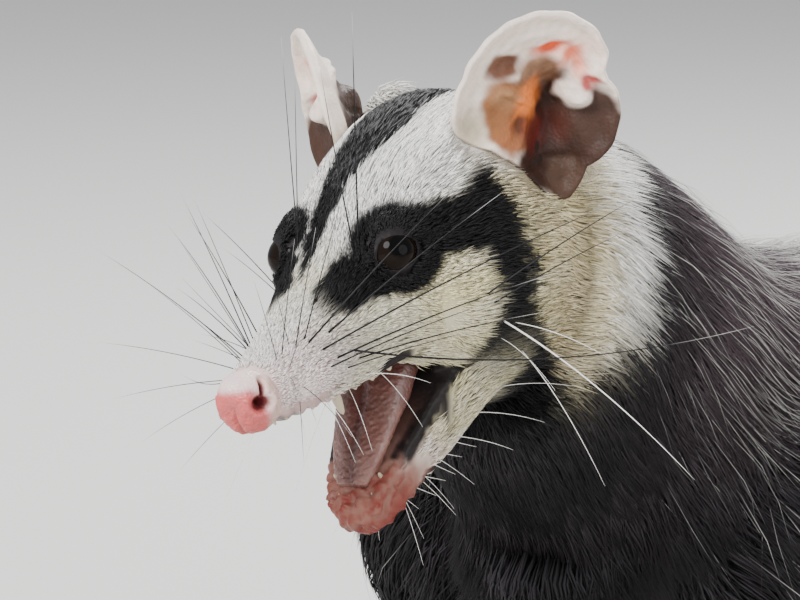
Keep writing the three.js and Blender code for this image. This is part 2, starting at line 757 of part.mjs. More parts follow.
for (const [name, hand] of Object.entries(hands)) {
  const { fore, hind } = legs[name];
  const coat = { ...legCoat, round: hand > 0 ? outerSide : innerSide };
  const foreLocks = lockRows(fore, coat, seededRandom(31 + hand));
  const hindLocks = lockRows(hind, coat, seededRandom(41 + hand));
  addPiece(`foreleg_${name}`, "darkFur", coated(fore, LEG_CORE, foreLocks), ["torso", "neck"]);
  addPiece(`hindleg_${name}`, "darkFur", coated(hind, LEG_CORE, hindLocks), ["torso"]);
  addPiece(`forefoot_${name}`, "footSkin", foreFoot(hand, FORELEGS[name].at(-1)), [`foreleg_${name}`]);
  addPiece(`hindfoot_${name}`, "footSkin", hindFoot(hand, HIND_LEGS[name].at(-1)), [`hindleg_${name}`]);
}
let before = "torso";
for (const [name, form] of tailLengths) {
  const furred = name === "tail_root";
  const locks = furred ? lockRows(form, tailCoat, seededRandom(53)) : [];
  const make = coated(form, furred ? TAIL_CORE : 0, locks);
  addPiece(name, furred ? "darkFur" : "tailSkin", (swell) => flatOnFloor(make(swell), swell), [before]);
  before = name;
}

// The whole animal, with its origin on the floor under the middle of its box
const animal = new THREE.Group();
const box = new THREE.Box3();
for (const [name, { solid, finish }] of pieces) {
  const { vertProperties, triVerts } = solid.getMesh();
  const geometry = new THREE.BufferGeometry()
    .setAttribute("position", new THREE.BufferAttribute(new Float32Array(vertProperties), 3))
    .setIndex(new THREE.BufferAttribute(new Uint32Array(triVerts), 1));
  geometry.computeVertexNormals();
  const mesh = new THREE.Mesh(geometry, new THREE.MeshStandardMaterial(FINISH[finish]));
  mesh.name = name;
  box.expandByObject(mesh);
  animal.add(mesh);
}
const middle = box.getCenter(V(0, 0, 0));
animal.position.set(-middle.x, -middle.y, 0);

export default animal;
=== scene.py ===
"""A white-eared opossum, life size, as a still model: one skin, a coat of tufts, bare parts.

Shapes are worked out in millimetres in the maker's frame, where the animal faces -X, its left
side is -Y and the head's origin stands over x = 0, y = 0. The last step of every mesh turns them
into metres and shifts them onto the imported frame.
"""

from __future__ import annotations

import logging
import math
from dataclasses import dataclass, field
from enum import Enum

import bpy
import numpy as np
from mathutils import Matrix, Vector

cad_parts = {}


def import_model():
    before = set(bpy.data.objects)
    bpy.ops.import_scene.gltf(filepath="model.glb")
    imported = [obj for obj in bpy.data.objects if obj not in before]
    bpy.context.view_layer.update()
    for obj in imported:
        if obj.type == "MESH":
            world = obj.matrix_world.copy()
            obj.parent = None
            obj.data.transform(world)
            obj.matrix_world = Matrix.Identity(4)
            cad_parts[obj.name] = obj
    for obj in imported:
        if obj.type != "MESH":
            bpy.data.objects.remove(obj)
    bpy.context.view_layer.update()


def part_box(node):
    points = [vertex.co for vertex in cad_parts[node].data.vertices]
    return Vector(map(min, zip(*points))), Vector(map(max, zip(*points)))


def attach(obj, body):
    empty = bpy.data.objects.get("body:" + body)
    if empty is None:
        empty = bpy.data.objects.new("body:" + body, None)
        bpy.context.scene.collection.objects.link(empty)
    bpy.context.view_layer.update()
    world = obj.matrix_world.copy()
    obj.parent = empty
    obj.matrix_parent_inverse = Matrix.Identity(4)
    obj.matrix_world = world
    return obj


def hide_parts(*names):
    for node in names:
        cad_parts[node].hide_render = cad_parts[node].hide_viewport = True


log = logging.getLogger("opossum")

MM = 0.001

# The head's pose and the places that the face is built from, in millimetres and degrees
HEAD_HEIGHT = 150.0
HEAD_ORIGIN_BEHIND_NOSE = 80.0
HEAD_YAW = 5.4
HEAD_PITCH = -15.7
HEAD_ROLL = -7.0
EYE_RADIUS = 5.2
EYE_BEHIND_NOSE = 49.0
EYE_SIDE = 12.0
EYE_HEIGHT = 16.4
JAW_PIVOT_BEHIND_NOSE = 74.0
JAW_PIVOT_HEIGHT = 3.0
JAW_DROP = 38.0
UPPER_LIP_ANGLE = -0.23 * math.pi
LOWER_LIP_ANGLE = 0.20 * math.pi
EAR_CENTRE = (89.5, 27.8, 33.6)
EAR_DEPTH = 6.2
EAR_THICKNESS = 1.1
NOSE_PAD_END = 9.5
HEAD_FLOOR = 100.0  # Above this height and near the nose lies only the upper head
FEET_END = 270.0  # Behind this x, what lies low is tail and not foot
FOOT_LEVELS = (15.0, 11.0)  # A leg turns into a foot between these heights

# The photograph's view
VIEW_AZIMUTH = -52.0
VIEW_ELEVATION = 8.0
VIEW_DISTANCE = 1500.0
VIEW_SCALE = 4.91
VIEW_SHIFT_RIGHT = 8.76
VIEW_SHIFT_UP = 5.5
PHOTO_WIDTH = 800
SENSOR = 36.0
FLOOR_REACH = 6.0
FLOOR_DROP = 0.0004

HANDS = {"left": -1.0, "right": 1.0}
BAKE_PATCH = 0.003  # Side of a tuft's patch on the bake map

# Colours of the coat and the bare parts, linear
BLACK = (0.010, 0.009, 0.010)
CHARCOAL = (0.030, 0.026, 0.030)
PLUM = (0.125, 0.085, 0.100)
SLATE = (0.095, 0.082, 0.094)
CREAM = (0.76, 0.69, 0.40)
IVORY = (0.84, 0.79, 0.64)
WHITE = (0.93, 0.91, 0.86)
BUFF = (0.50, 0.38, 0.19)
MUZZLE_PINK = (0.97, 0.81, 0.81)
LIP_BLACK = (0.014, 0.011, 0.011)
PINK = (0.70, 0.30, 0.27)
PALE_PINK = (0.80, 0.58, 0.52)
INNER_LIP = (0.62, 0.45, 0.42)
JAW_PALE = (0.42, 0.27, 0.22)
JAW_FLESH = (0.28, 0.125, 0.095)
JAW_RED = (0.22, 0.036, 0.026)
NOSTRIL = (0.10, 0.010, 0.012)
NOSE_WHITE = (0.86, 0.70, 0.68)
NOSE_RED = (0.62, 0.105, 0.100)
EAR_PALE = (0.95, 0.82, 0.71)
CUP_BROWN = (0.030, 0.016, 0.012)
# The mouth's pink lining as seen in painted shade, and the deeper painted shade towards the throat.
SHADED_LINING = (0.15, 0.07, 0.055)
THROAT_SHADE = (0.040, 0.021, 0.016)
BARE_FOOT = (0.085, 0.058, 0.052)
TAIL_DARK = (0.055, 0.045, 0.045)
TAIL_PALE = (0.56, 0.44, 0.38)
EYE_BLACK = (0.002, 0.002, 0.002)
EYE_BROWN = (0.010, 0.006, 0.004)
EYE_EDGE = (0.02, 0.012, 0.012)
PAPER = (0.62, 0.61, 0.59)
SKY = (0.93, 0.95, 1.0)


class Finish(Enum):
    """Names of the material slots, handed with each piece to the workshop's finish."""

    EYE = "eye"
    FACE = "face_fur"
    PINK = "pink_skin"
    EAR = "ear_skin"
    PALE = "pale_fur"
    DARK = "dark_fur"
    FOOT = "foot_skin"
    TAIL = "tail_skin"


def rad(degrees: float) -> float:
    """Turn degrees into radians."""
    return math.radians(degrees)


def unit(vectors: np.ndarray) -> np.ndarray:
    """Scale each row to length 1."""
    return vectors / np.maximum(np.linalg.norm(vectors, axis=-1, keepdims=True), 1e-9)


def smooth_step(low: float, high: float, value: np.ndarray) -> np.ndarray:
    """Rise from 0 at low to 1 at high along a cubic with level ends."""
    t = np.clip((value - low) / (high - low), 0.0, 1.0)
    return t * t * (3.0 - 2.0 * t)


def table_value(pairs: tuple[tuple[float, float], ...], at: np.ndarray) -> np.ndarray:
    """Read a table of (place, value) pairs with straight lines between them."""
    places, values = zip(*pairs)
    return np.interp(at, places, values)


def mix(low: np.ndarray, high: np.ndarray, share: np.ndarray) -> np.ndarray:
    """Blend two sets of colours, row by row."""
    return low + (np.asarray(high) - low) * np.asarray(share)[..., None]


def ripple(points: np.ndarray, scale: float, seed: int) -> np.ndarray:
    """Give a smooth random value from -1 to 1 at each point: a sum of seven turned sine waves.

    Args:
        points: places in millimetres, one row each.
        scale: rough distance between two crests.
        seed: fixes the directions of the waves.

    Returns:
        One value a point.
    """
    draw = np.random.default_rng(seed)
    total = np.zeros(len(points))
    for _ in range(7):
        direction = unit(draw.normal(size=3))
        step = scale * (0.5 + draw.random())
        total += np.sin(points @ direction * (2 * np.pi / step) + draw.random() * 6.28)
    return total / 7 ** 0.5 / 1.4


def head_matrix() -> np.ndarray:
    """Give the head's own axes in the maker's frame: x back from the ears, y right, z up."""
    turn = (
        Matrix.Rotation(rad(HEAD_YAW), 4, "Z")
        @ Matrix.Rotation(rad(HEAD_PITCH), 4, "Y")
        @ Matrix.Rotation(rad(HEAD_ROLL), 4, "X")
    )
    return np.array(Matrix.Translation((0.0, 0.0, HEAD_HEIGHT)) @ turn)


def jaw_matrix() -> np.ndarray:
    """Give the lower jaw's axes: x runs from its tip back to the pivot, opened by the drop."""
    place = Matrix.Translation((behind_nose(JAW_PIVOT_BEHIND_NOSE), 0.0, JAW_PIVOT_HEIGHT))
    return head_matrix() @ np.array(place @ Matrix.Rotation(rad(-JAW_DROP), 4, "Y"))


def behind_nose(distance: float) -> float:
    """Turn a distance behind the nose tip into the head's x."""
    return distance - HEAD_ORIGIN_BEHIND_NOSE


def carry(matrix: np.ndarray, points: np.ndarray) -> np.ndarray:
    """Carry points (or a grid of them) through a 4 by 4 matrix."""
    return points @ matrix[:3, :3].T + matrix[:3, 3]


def carry_back(matrix: np.ndarray, points: np.ndarray) -> np.ndarray:
    """Carry points back through the inverse of a rigid matrix."""
    return (points - matrix[:3, 3]) @ matrix[:3, :3]


def head_places(points: np.ndarray) -> tuple[np.ndarray, np.ndarray]:
    """Give places in the head's axes, and how far behind the nose tip they lie."""
    local = carry_back(head_matrix(), points)
    return local, local[:, 0] + HEAD_ORIGIN_BEHIND_NOSE


def smooth_line(points: np.ndarray, at: np.ndarray) -> np.ndarray:
    """Evaluate a Catmull-Rom line: cubic spans whose end slopes are half the chords beside them.

    Args:
        points: the line's points, one row each.
        at: shares along the line, from 0 to 1.

    Returns:
        One row a share.
    """
    ends = np.vstack([2 * points[:1] - points[1:2], points, 2 * points[-1:] - points[-2:-1]])
    place = np.clip(at, 0.0, 1.0) * (len(points) - 1)
    span = np.minimum(place.astype(int), len(points) - 2)
    t = (place - span)[:, None]
    before, start, end, after = (ends[span + k] for k in range(4))
    out, into = 0.5 * (end - before), 0.5 * (after - start)
    rise = (-3 * t**2 + 2 * t**3) * (start - end)
    return start + t * (1 - t) ** 2 * out + rise - t**2 * (1 - t) * into


@dataclass
class Loft:
    """A body part as rounded sections along a smooth line, the same as in the part's source.

    A station is (x, y, z, half width, rise, fall): the section's centre, and how far it reaches
    to each side, above and below. The section is a superellipse of the given power.
    """

    stations: tuple
    matrix: np.ndarray = field(default_factory=lambda: np.eye(4))
    side: tuple = (0.0, 1.0, 0.0)
    along: tuple | None = None
    power: float = 2.2
    samples: int = 60

    def __post_init__(self) -> None:
        """Sample the line once, for the places of points near it."""
        rows = np.array(self.stations, float)
        self.line, self.size = rows[:, :3], rows[:, 3:]
        self.grid = np.linspace(0.0, 1.0, self.samples)
        centre, along, side, up, size = self.frames(self.grid)
        turn = self.matrix[:3, :3].T
        self.table = np.hstack(
            [carry(self.matrix, centre), along @ turn, side @ turn, up @ turn, size]
        )
        self.length = float(np.linalg.norm(np.diff(self.table[:, :3], axis=0), axis=1).sum())

    def frames(self, at: np.ndarray) -> tuple:
        """Give the sections' centres, axes and sizes at shares of the line, in the loft's axes."""
        centre = smooth_line(self.line, at)
        if self.along is None:
            ahead = smooth_line(self.line, np.minimum(at + 1e-4, 1.0))
            behind = smooth_line(self.line, np.maximum(at - 1e-4, 0.0))
            along = unit(ahead - behind)
        else:
            along = np.broadcast_to(np.array(self.along, float), centre.shape)
        reference = np.broadcast_to(np.array(self.side, float), centre.shape)
        side = unit(reference - (reference * along).sum(1, keepdims=True) * along)
        return centre, along, side, np.cross(along, side), smooth_line(self.size, at)

    def point(self, u: np.ndarray, v: np.ndarray, depth: float | np.ndarray = 0.0) -> np.ndarray:
        """Give the points at shares u along and angles v round, off the surface by depth."""
        inside = np.clip(u, 0.0, 1.0)
        centre, along, side, up, size = self.frames(inside)
        depth = np.broadcast_to(depth, u.shape)
        wide = (size[:, 0] + depth) * self.squash(np.cos(v))
        high = (np.where(np.sin(v) > 0, size[:, 1], size[:, 2]) + depth) * self.squash(np.sin(v))
        past = (u - inside) * self.length
        local = centre + past[:, None] * along + wide[:, None] * side + high[:, None] * up
        return carry(self.matrix, local)

    def squash(self, wave: np.ndarray) -> np.ndarray:
        """Bend a sine or cosine so that the section becomes a superellipse."""
        return np.sign(wave) * np.abs(wave) ** (2 / self.power)

    def locate(self, points: np.ndarray) -> tuple[np.ndarray, np.ndarray, np.ndarray, np.ndarray]:
        """Find points on the loft: share along, angle round, distance and direction.

        The nearest sample of the line is refined twice by the point's offset along the axis.
        The distance is the radius less the section's radius in that direction, negative inside.

        Args:
            points: places in millimetres, one row each.

        Returns:
            Shares, angles, signed distances, and the line's direction at each point.
        """
        share = np.empty(len(points))
        for part in np.array_split(np.arange(len(points)), len(points) // 20000 + 1):
            gap = points[part] @ self.table[:, :3].T * -2 + (self.table[:, :3] ** 2).sum(1)
            share[part] = self.grid[gap.argmin(1)]
        for _ in range(2):
            centre, along = self.read(share, 0), self.read(share, 3)
            share += ((points - centre) * along).sum(1) / self.length
        inside = np.clip(share, 0.0, 1.0)
        centre, along, side, up, size = (self.read(inside, k) for k in (0, 3, 6, 9, 12))
        offset = points - centre
        wide, high = (offset * side).sum(1), (offset * up).sum(1)
        tall = np.where(high > 0, size[:, 1], size[:, 2])
        norm = np.abs(wide / size[:, 0]) ** self.power + np.abs(high / tall) ** self.power
        norm = np.maximum(norm ** (1 / self.power), 1e-3)
        radius = np.hypot(wide, high)
        distance = radius * (1 - 1 / norm)
        beyond = np.abs((offset * along).sum(1)) * ((share < 0) | (share > 1))
        distance = np.where(beyond > 0, np.hypot(np.maximum(distance, 0), beyond), distance)
        return inside, np.arctan2(high / tall, wide / size[:, 0]), distance, along

    def read(self, share: np.ndarray, column: int) -> np.ndarray:
        """Read three columns of the sampled table at shares of the line."""
        return np.stack(
            [np.interp(share, self.grid, self.table[:, column + k]) for k in range(3)], 1
        )

    def surface(self, rows: int, columns: int, depth: float = 0.0) -> "Shell":
        """Make the loft's closed surface: rings of points at equal shares, a fan over each end."""
        u, v = np.meshgrid(
            np.linspace(0, 1, rows), np.arange(columns) * 2 * np.pi / columns, indexing="ij"
        )
        past = np.where(u == 0, -depth, np.where(u == 1, depth, 0)) / self.length
        points = self.point((u + past).ravel(), v.ravel(), depth)
        return Shell.from_rings(points.reshape(rows, columns, 3))


@dataclass
class Shell:
    """A closed triangle mesh in the maker's frame."""

    points: np.ndarray
    triangles: np.ndarray

    @staticmethod
    def from_rings(
        rings: np.ndarray, start: np.ndarray | None = None, end: np.ndarray | None = None
    ) -> "Shell":
        """Close a grid of rings with a fan at each end, and turn its faces outwards.

        Args:
            rings: points as (ring, side, 3).
            start: the first fan's point, or the first ring's middle.
            end: the last fan's point, or the last ring's middle.

        Returns:
            The closed shell.
        """
        rows, columns, _ = rings.shape
        start = rings[0].mean(0) if start is None else start
        end = rings[-1].mean(0) if end is None else end
        points = np.vstack([rings.reshape(-1, 3), start, end])
        near = np.arange(rows * columns).reshape(rows, columns)
        far = np.roll(near, -1, axis=1)
        quads = np.stack([near[:-1], far[:-1], far[1:], near[1:]], -1).reshape(-1, 4)
        first = np.stack([np.full(columns, rows * columns), far[0], near[0]], -1)
        last = np.stack([np.full(columns, rows * columns + 1), near[-1], far[-1]], -1)
        shell = Shell(points, np.vstack([quads[:, :3], quads[:, [0, 2, 3]], first, last]))
        return shell.outward()

    @staticmethod
    def joined(shells: list["Shell"]) -> "Shell":
        """Put several shells into one, without a Boolean."""
        starts = np.cumsum([0] + [len(shell.points) for shell in shells[:-1]])
        triangles = [shell.triangles + start for shell, start in zip(shells, starts)]
        return Shell(np.vstack([shell.points for shell in shells]), np.vstack(triangles))

    def outward(self) -> "Shell":
        """Turn the faces so that the shell's volume is positive."""
        a, b, c = (self.points[self.triangles[:, k]] for k in range(3))
        if (a * np.cross(b, c)).sum() < 0:
            self.triangles = self.triangles[:, ::-1].copy()
        return self


def closed_tube(path: np.ndarray, radii: np.ndarray, columns: int) -> Shell:
    """Carry a circle along a path: each ring stands square to it, with a fan over each end."""
    along = unit(np.gradient(path, axis=0))
    reference = np.array([0.0, 0.0, 1.0]) if abs(along[0, 2]) < 0.9 else np.array([1.0, 0.0, 0.0])
    side = unit(np.cross(along, reference))
    up = np.cross(side, along)
    angle = np.arange(columns) * 2 * np.pi / columns
    rings = (
        path[:, None]
        + radii[:, None, None] * np.cos(angle)[None, :, None] * side[:, None]
        + radii[:, None, None] * np.sin(angle)[None, :, None] * up[:, None]
    )
    return Shell.from_rings(rings, path[0], path[-1])


class Workshop:
    """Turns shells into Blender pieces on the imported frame."""

    def __init__(self) -> None:
        """Find the shift between the maker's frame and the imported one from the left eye."""
        low, high = (np.array(corner, float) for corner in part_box("eye_left"))
        centre = carry(
            head_matrix(), np.array([behind_nose(EYE_BEHIND_NOSE), -EYE_SIDE, EYE_HEIGHT])
        )
        self.shift = (low + high) / 2 - centre * MM

    def place(self, points: np.ndarray) -> np.ndarray:
        """Turn maker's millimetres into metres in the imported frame."""
        return points * MM + self.shift

    def mesh(self, name: str, shell: Shell, smooth: bool = True) -> bpy.types.Object:
        """Make a Blender object from a shell, through bulk arrays.

        Args:
            name: the piece's name.
            shell: its closed surface.
            smooth: whether the faces are shaded smooth.

        Returns:
            The new object, at the origin and unturned.
        """
        data = bpy.data.meshes.new(name)
        triangles = np.ascontiguousarray(shell.triangles, np.int32)
        data.vertices.add(len(shell.points))
        data.vertices.foreach_set("co", self.place(shell.points).astype(np.float32).ravel())
        data.loops.add(triangles.size)
        data.loops.foreach_set("vertex_index", triangles.ravel())
        data.polygons.add(len(triangles))
        data.polygons.foreach_set("loop_start", np.arange(0, triangles.size, 3, dtype=np.int32))
        data.polygons.foreach_set("use_smooth", np.full(len(triangles), smooth))
        data.update(calc_edges=True)
        data.validate()
        piece = bpy.data.objects.new(name, data)
        bpy.context.scene.collection.objects.link(piece)
        return piece

    def bake(self, piece: bpy.types.Object) -> None:
        """Apply every modifier of a piece to its mesh."""
        depsgraph = bpy.context.evaluated_depsgraph_get()
        made = bpy.data.meshes.new_from_object(piece.evaluated_get(depsgraph))
        piece.modifiers.clear()
        old, piece.data = piece.data, made
        bpy.data.meshes.remove(old)

    def remeshed(self, name: str, shell: Shell, cell: float, smoothing: int) -> bpy.types.Object:
        """Fuse overlapping shells into one even surface of small cells, then relax it.

        Args:
            name: the piece's name.
            shell: the overlapping shells.
            cell: the cell's size in millimetres.
            smoothing: rounds of relaxing.

        Returns:
            The fused piece.
        """
        piece = self.mesh(name, shell)
        fuse = piece.modifiers.new("fuse", "REMESH")
        fuse.mode = "VOXEL"
        fuse.voxel_size = cell * MM
        fuse.use_smooth_shade = True
        relax = piece.modifiers.new("relax", "SMOOTH")
        relax.factor = 0.5
        relax.iterations = smoothing
        self.bake(piece)
        return piece

    def combine(self, piece: bpy.types.Object, other: bpy.types.Object, operation: str) -> None:
        """Join or cut a piece with another closed one, which is then removed."""
        join = piece.modifiers.new("join", "BOOLEAN")
        join.object = other
        join.operation = operation
        join.solver = "MANIFOLD"
        self.bake(piece)
        bpy.data.objects.remove(other)

    def points_of(self, piece: bpy.types.Object) -> np.ndarray:
        """Read a piece's vertices back into maker's millimetres."""
        flat = np.empty(len(piece.data.vertices) * 3, np.float32)
        piece.data.vertices.foreach_get("co", flat)
        return (flat.reshape(-1, 3).astype(float) - self.shift) / MM

    def move_points(self, piece: bpy.types.Object, points: np.ndarray) -> None:
        """Write maker's millimetres into a piece's vertices."""
        piece.data.vertices.foreach_set("co", self.place(points).astype(np.float32).ravel())
        piece.data.update()

    def normals_of(self, piece: bpy.types.Object) -> np.ndarray:
        """Read a piece's vertex normals."""
        flat = np.empty(len(piece.data.vertices) * 3, np.float32)
        piece.data.vertex_normals.foreach_get("vector", flat)
        return flat.reshape(-1, 3).astype(float)

    def paint(self, piece: bpy.types.Object, name: str, colours: np.ndarray) -> None:
        """Store one colour a vertex in a named attribute."""
        layer = piece.data.attributes.new(name, "FLOAT_COLOR", "POINT")
        rows = np.hstack([np.clip(colours, 0, 1), np.ones((len(colours), 1))])
        layer.data.foreach_set("color", rows.astype(np.float32).ravel())

    def finish(self, piece: bpy.types.Object, materials: list, slot: Finish, *nodes: str) -> None:
        """Dress a piece, let it ride with the animal and hide the nodes that it stands for."""
        piece.data.materials.clear()
        for material in materials:
            piece.data.materials.append(material)
        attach(piece, "root")
        if nodes:
            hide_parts(*nodes)
        log.info("%s: %d faces", piece.name, len(piece.data.polygons))


@dataclass
class Anatomy:
    """The animal's forms at the skin, from the same sizes as the solids."""

    skull_sections: tuple = (
        (5.5, 3.8, 7.6, 2.8, -1.8), (9, 5.6, 8.6, 2.6, -3), (16, 7.6, 10.4, 2, -4.8),
        (26, 9.4, 13.4, 2, -6), (36, 12.2, 17.2, 3.6, -6.8), (45, 15.8, 21.8, 5.6, -7.6),
        (52, 19.6, 25.8, 5.6, -11), (60, 22.4, 29.2, 4.6, -18), (72, 25.2, 33, 2.6, -25),
        (84, 25.4, 34.4, 2.6, -26), (95, 22, 31.6, 5, -20), (103, 12, 22, 8, -8),
    )
    mouth_sections: tuple = (
        (40, 9, -4, -14, -30), (50, 11, -4, -14, -30), (58, 10, -5, -13, -24),
        (66, 7, -7, -12, -18), (70, 2, -10, -12, -14),
    )
    jaw_sections: tuple = (
        (58, 3.0, -0.8, -4.6), (55, 5.8, 1.2, -7.2), (48, 8.2, 2.2, -9.6), (38, 11.0, 2.0, -12.6),
        (26, 14.6, 2.0, -15.6), (14, 17.6, 1.0, -18.6), (4, 16.6, 0, -17),
    )
    tongue_sections: tuple = (
        (51, 3.4, 4.2, 1.0), (46, 5.6, 5.8, 1.0), (37, 7.4, 7.6, 0.5), (26, 8.4, 9.8, 0),
        (16, 7.6, 11, 0), (11, 3, 9, 4),
    )
    neck_stations: tuple = (
        (6, 0, 154, 17, 18, 24), (22, 0, 150, 25, 27, 32), (42, 0, 138, 30, 28, 38),
        (62, 0, 122, 33, 28, 40), (74, 0, 112, 27, 24, 28),
    )
    torso_sections: tuple = (
        (36, 16, 114, 78), (44, 29, 130, 62), (62, 38, 142, 50), (86, 41, 142, 46),
        (120, 41, 135, 44), (160, 42, 133, 44), (200, 45, 133, 46), (238, 43, 127, 52),
        (268, 34, 115, 66), (290, 23, 102, 78), (304, 12, 94, 82),
    )
    forelegs: dict = field(default_factory=lambda: {
        "left": (
            (74, -22, 112, 11), (77, -36, 92, 17.5), (90, -43, 66, 12.5), (85, -43, 44, 9),
            (74, -42, 21, 6.6), (69, -42, 9, 6),
        ),
        "right": (
            (68, 24, 110, 11), (61, 41, 88, 18), (68, 47, 64, 12.5), (58, 46, 44, 9),
            (49, 45, 21, 6.6), (44, 45, 9, 6),
        ),
    })
    hindlegs: dict = field(default_factory=lambda: {
        "left": (
            (254, -18, 106, 13), (247, -33, 88, 23), (227, -43, 62, 17), (236, -45, 40, 10.5),
            (250, -44, 22, 7.5), (253, -44, 11, 6.8),
        ),
        "right": (
            (252, 18, 106, 13), (241, 33, 88, 23), (217, 43, 62, 17), (224, 45, 40, 10.5),
            (236, 44, 22, 7.5), (239, 44, 11, 6.8),
        ),
    })
    tail_line: tuple = (
        (290, 0, 92, 13), (312, 0, 80, 12), (338, 1, 58, 10.5), (364, 4, 32, 9), (392, 10, 12.5, 8),
        (424, 20, 6.6, 7.2), (464, 30, 5.6, 6.2), (506, 32, 4.6, 5.2), (548, 22, 3.6, 4.2),
        (584, 4, 2.6, 3.2), (606, -12, 1.8, 2.2),
    )

    def __post_init__(self) -> None:
        """Build the lofts of every furred or bare length of the body."""
        head, jaw = head_matrix(), jaw_matrix()
        ahead = (1.0, 0.0, 0.0)
        self.skull = Loft(self.head_rows(self.skull_sections), head, along=ahead, power=2.1)
        self.mouth = Loft(self.head_rows(self.mouth_sections), head, along=ahead)
        self.jaw = Loft(self.jaw_rows(self.jaw_sections), jaw, along=ahead, power=2.6)
        self.tongue = Loft(self.jaw_rows(self.tongue_sections), jaw, along=ahead)
        self.neck = Loft(self.neck_stations)
        self.torso = Loft(tuple(self.level_row(row) for row in self.torso_sections), along=ahead)
        self.tail = Loft(tuple(self.round_row(row) for row in self.tail_line), samples=120)
        self.lofts = {"skull": self.skull, "jaw": self.jaw, "neck": self.neck, "torso": self.torso}
        for name in HANDS:
            self.lofts[f"foreleg_{name}"] = Loft(tuple(map(self.round_row, self.forelegs[name])))
            self.lofts[f"hindleg_{name}"] = Loft(tuple(map(self.round_row, self.hindlegs[name])))
        self.lofts["tail"] = self.tail

    @staticmethod
    def head_rows(sections: tuple) -> tuple:
        """Turn (behind the nose, half width, top, middle, bottom) into stations."""
        return tuple(
            (behind_nose(s), 0, mid, half, top - mid, mid - low)
            for s, half, top, mid, low in sections
        )

    @staticmethod
    def jaw_rows(sections: tuple) -> tuple:
        """Turn (from the pivot, half width, top, bottom) into stations."""
        return tuple(
            (-t, 0, (a + b) / 2, half, (a - b) / 2, (a - b) / 2) for t, half, a, b in sections
        )

    @staticmethod
    def level_row(row: tuple) -> tuple:
        """Turn (x, half width, top, bottom) into a station."""
        x, half, top, low = row
        return (x, 0, (top + low) / 2, half, (top - low) / 2, (top - low) / 2)

    @staticmethod
    def round_row(row: tuple) -> tuple:
        """Turn (x, y, z, radius) into a station."""
        return (*row, row[3], row[3])

    def eye_centre(self, hand: float) -> np.ndarray:
        """Give an eye's centre; hand is -1 on the animal's left."""
        return carry(
            head_matrix(), np.array([behind_nose(EYE_BEHIND_NOSE), hand * EYE_SIDE, EYE_HEIGHT])
        )

    def eye_gap(self, points: np.ndarray) -> np.ndarray:
        """Give each point's distance from the middle of the nearer eye."""
        gaps = (np.linalg.norm(points - self.eye_centre(hand), axis=1) for hand in HANDS.values())
        return np.minimum(*gaps)

    def gaze(self, hand: float) -> np.ndarray:
        """Give the direction that an eye faces, outwards, forwards and up."""
        return unit(head_matrix()[:3, :3] @ np.array([-0.42, hand * 0.78, 0.46]))

    def survey(self, points: np.ndarray) -> "Survey":
        """Place points on every loft at once."""
        found = [loft.locate(points) for loft in self.lofts.values()]
        return Survey(*(np.stack([row[k] for row in found], 1) for k in range(4)))

    def distance(self, points: np.ndarray) -> np.ndarray:
        """Give the signed distance to the nearest loft."""
        return np.stack([loft.locate(points)[2] for loft in self.lofts.values()], 1).min(1)

    def settle(self, points: np.ndarray, height: np.ndarray) -> np.ndarray:
        """Move points along the skin's gradient until they stand at the given height over it."""
        here = self.distance(points)
        step = 0.6
        slope = np.stack([self.distance(points + step * axis) - here for axis in np.eye(3)], 1)
        return points - unit(slope) * (here - height)[:, None]


@dataclass
class Survey:
    """Where points lie on every loft: shares, angles, distances and directions."""

    share: np.ndarray
    angle: np.ndarray
    distance: np.ndarray
    along: np.ndarray

    def weights(self, softness: float) -> np.ndarray:
        """Weigh the lofts at each point, the nearest most."""
        near = self.distance - self.distance.min(1, keepdims=True)
        weight = np.exp(-near / softness)
        return weight / weight.sum(1, keepdims=True)


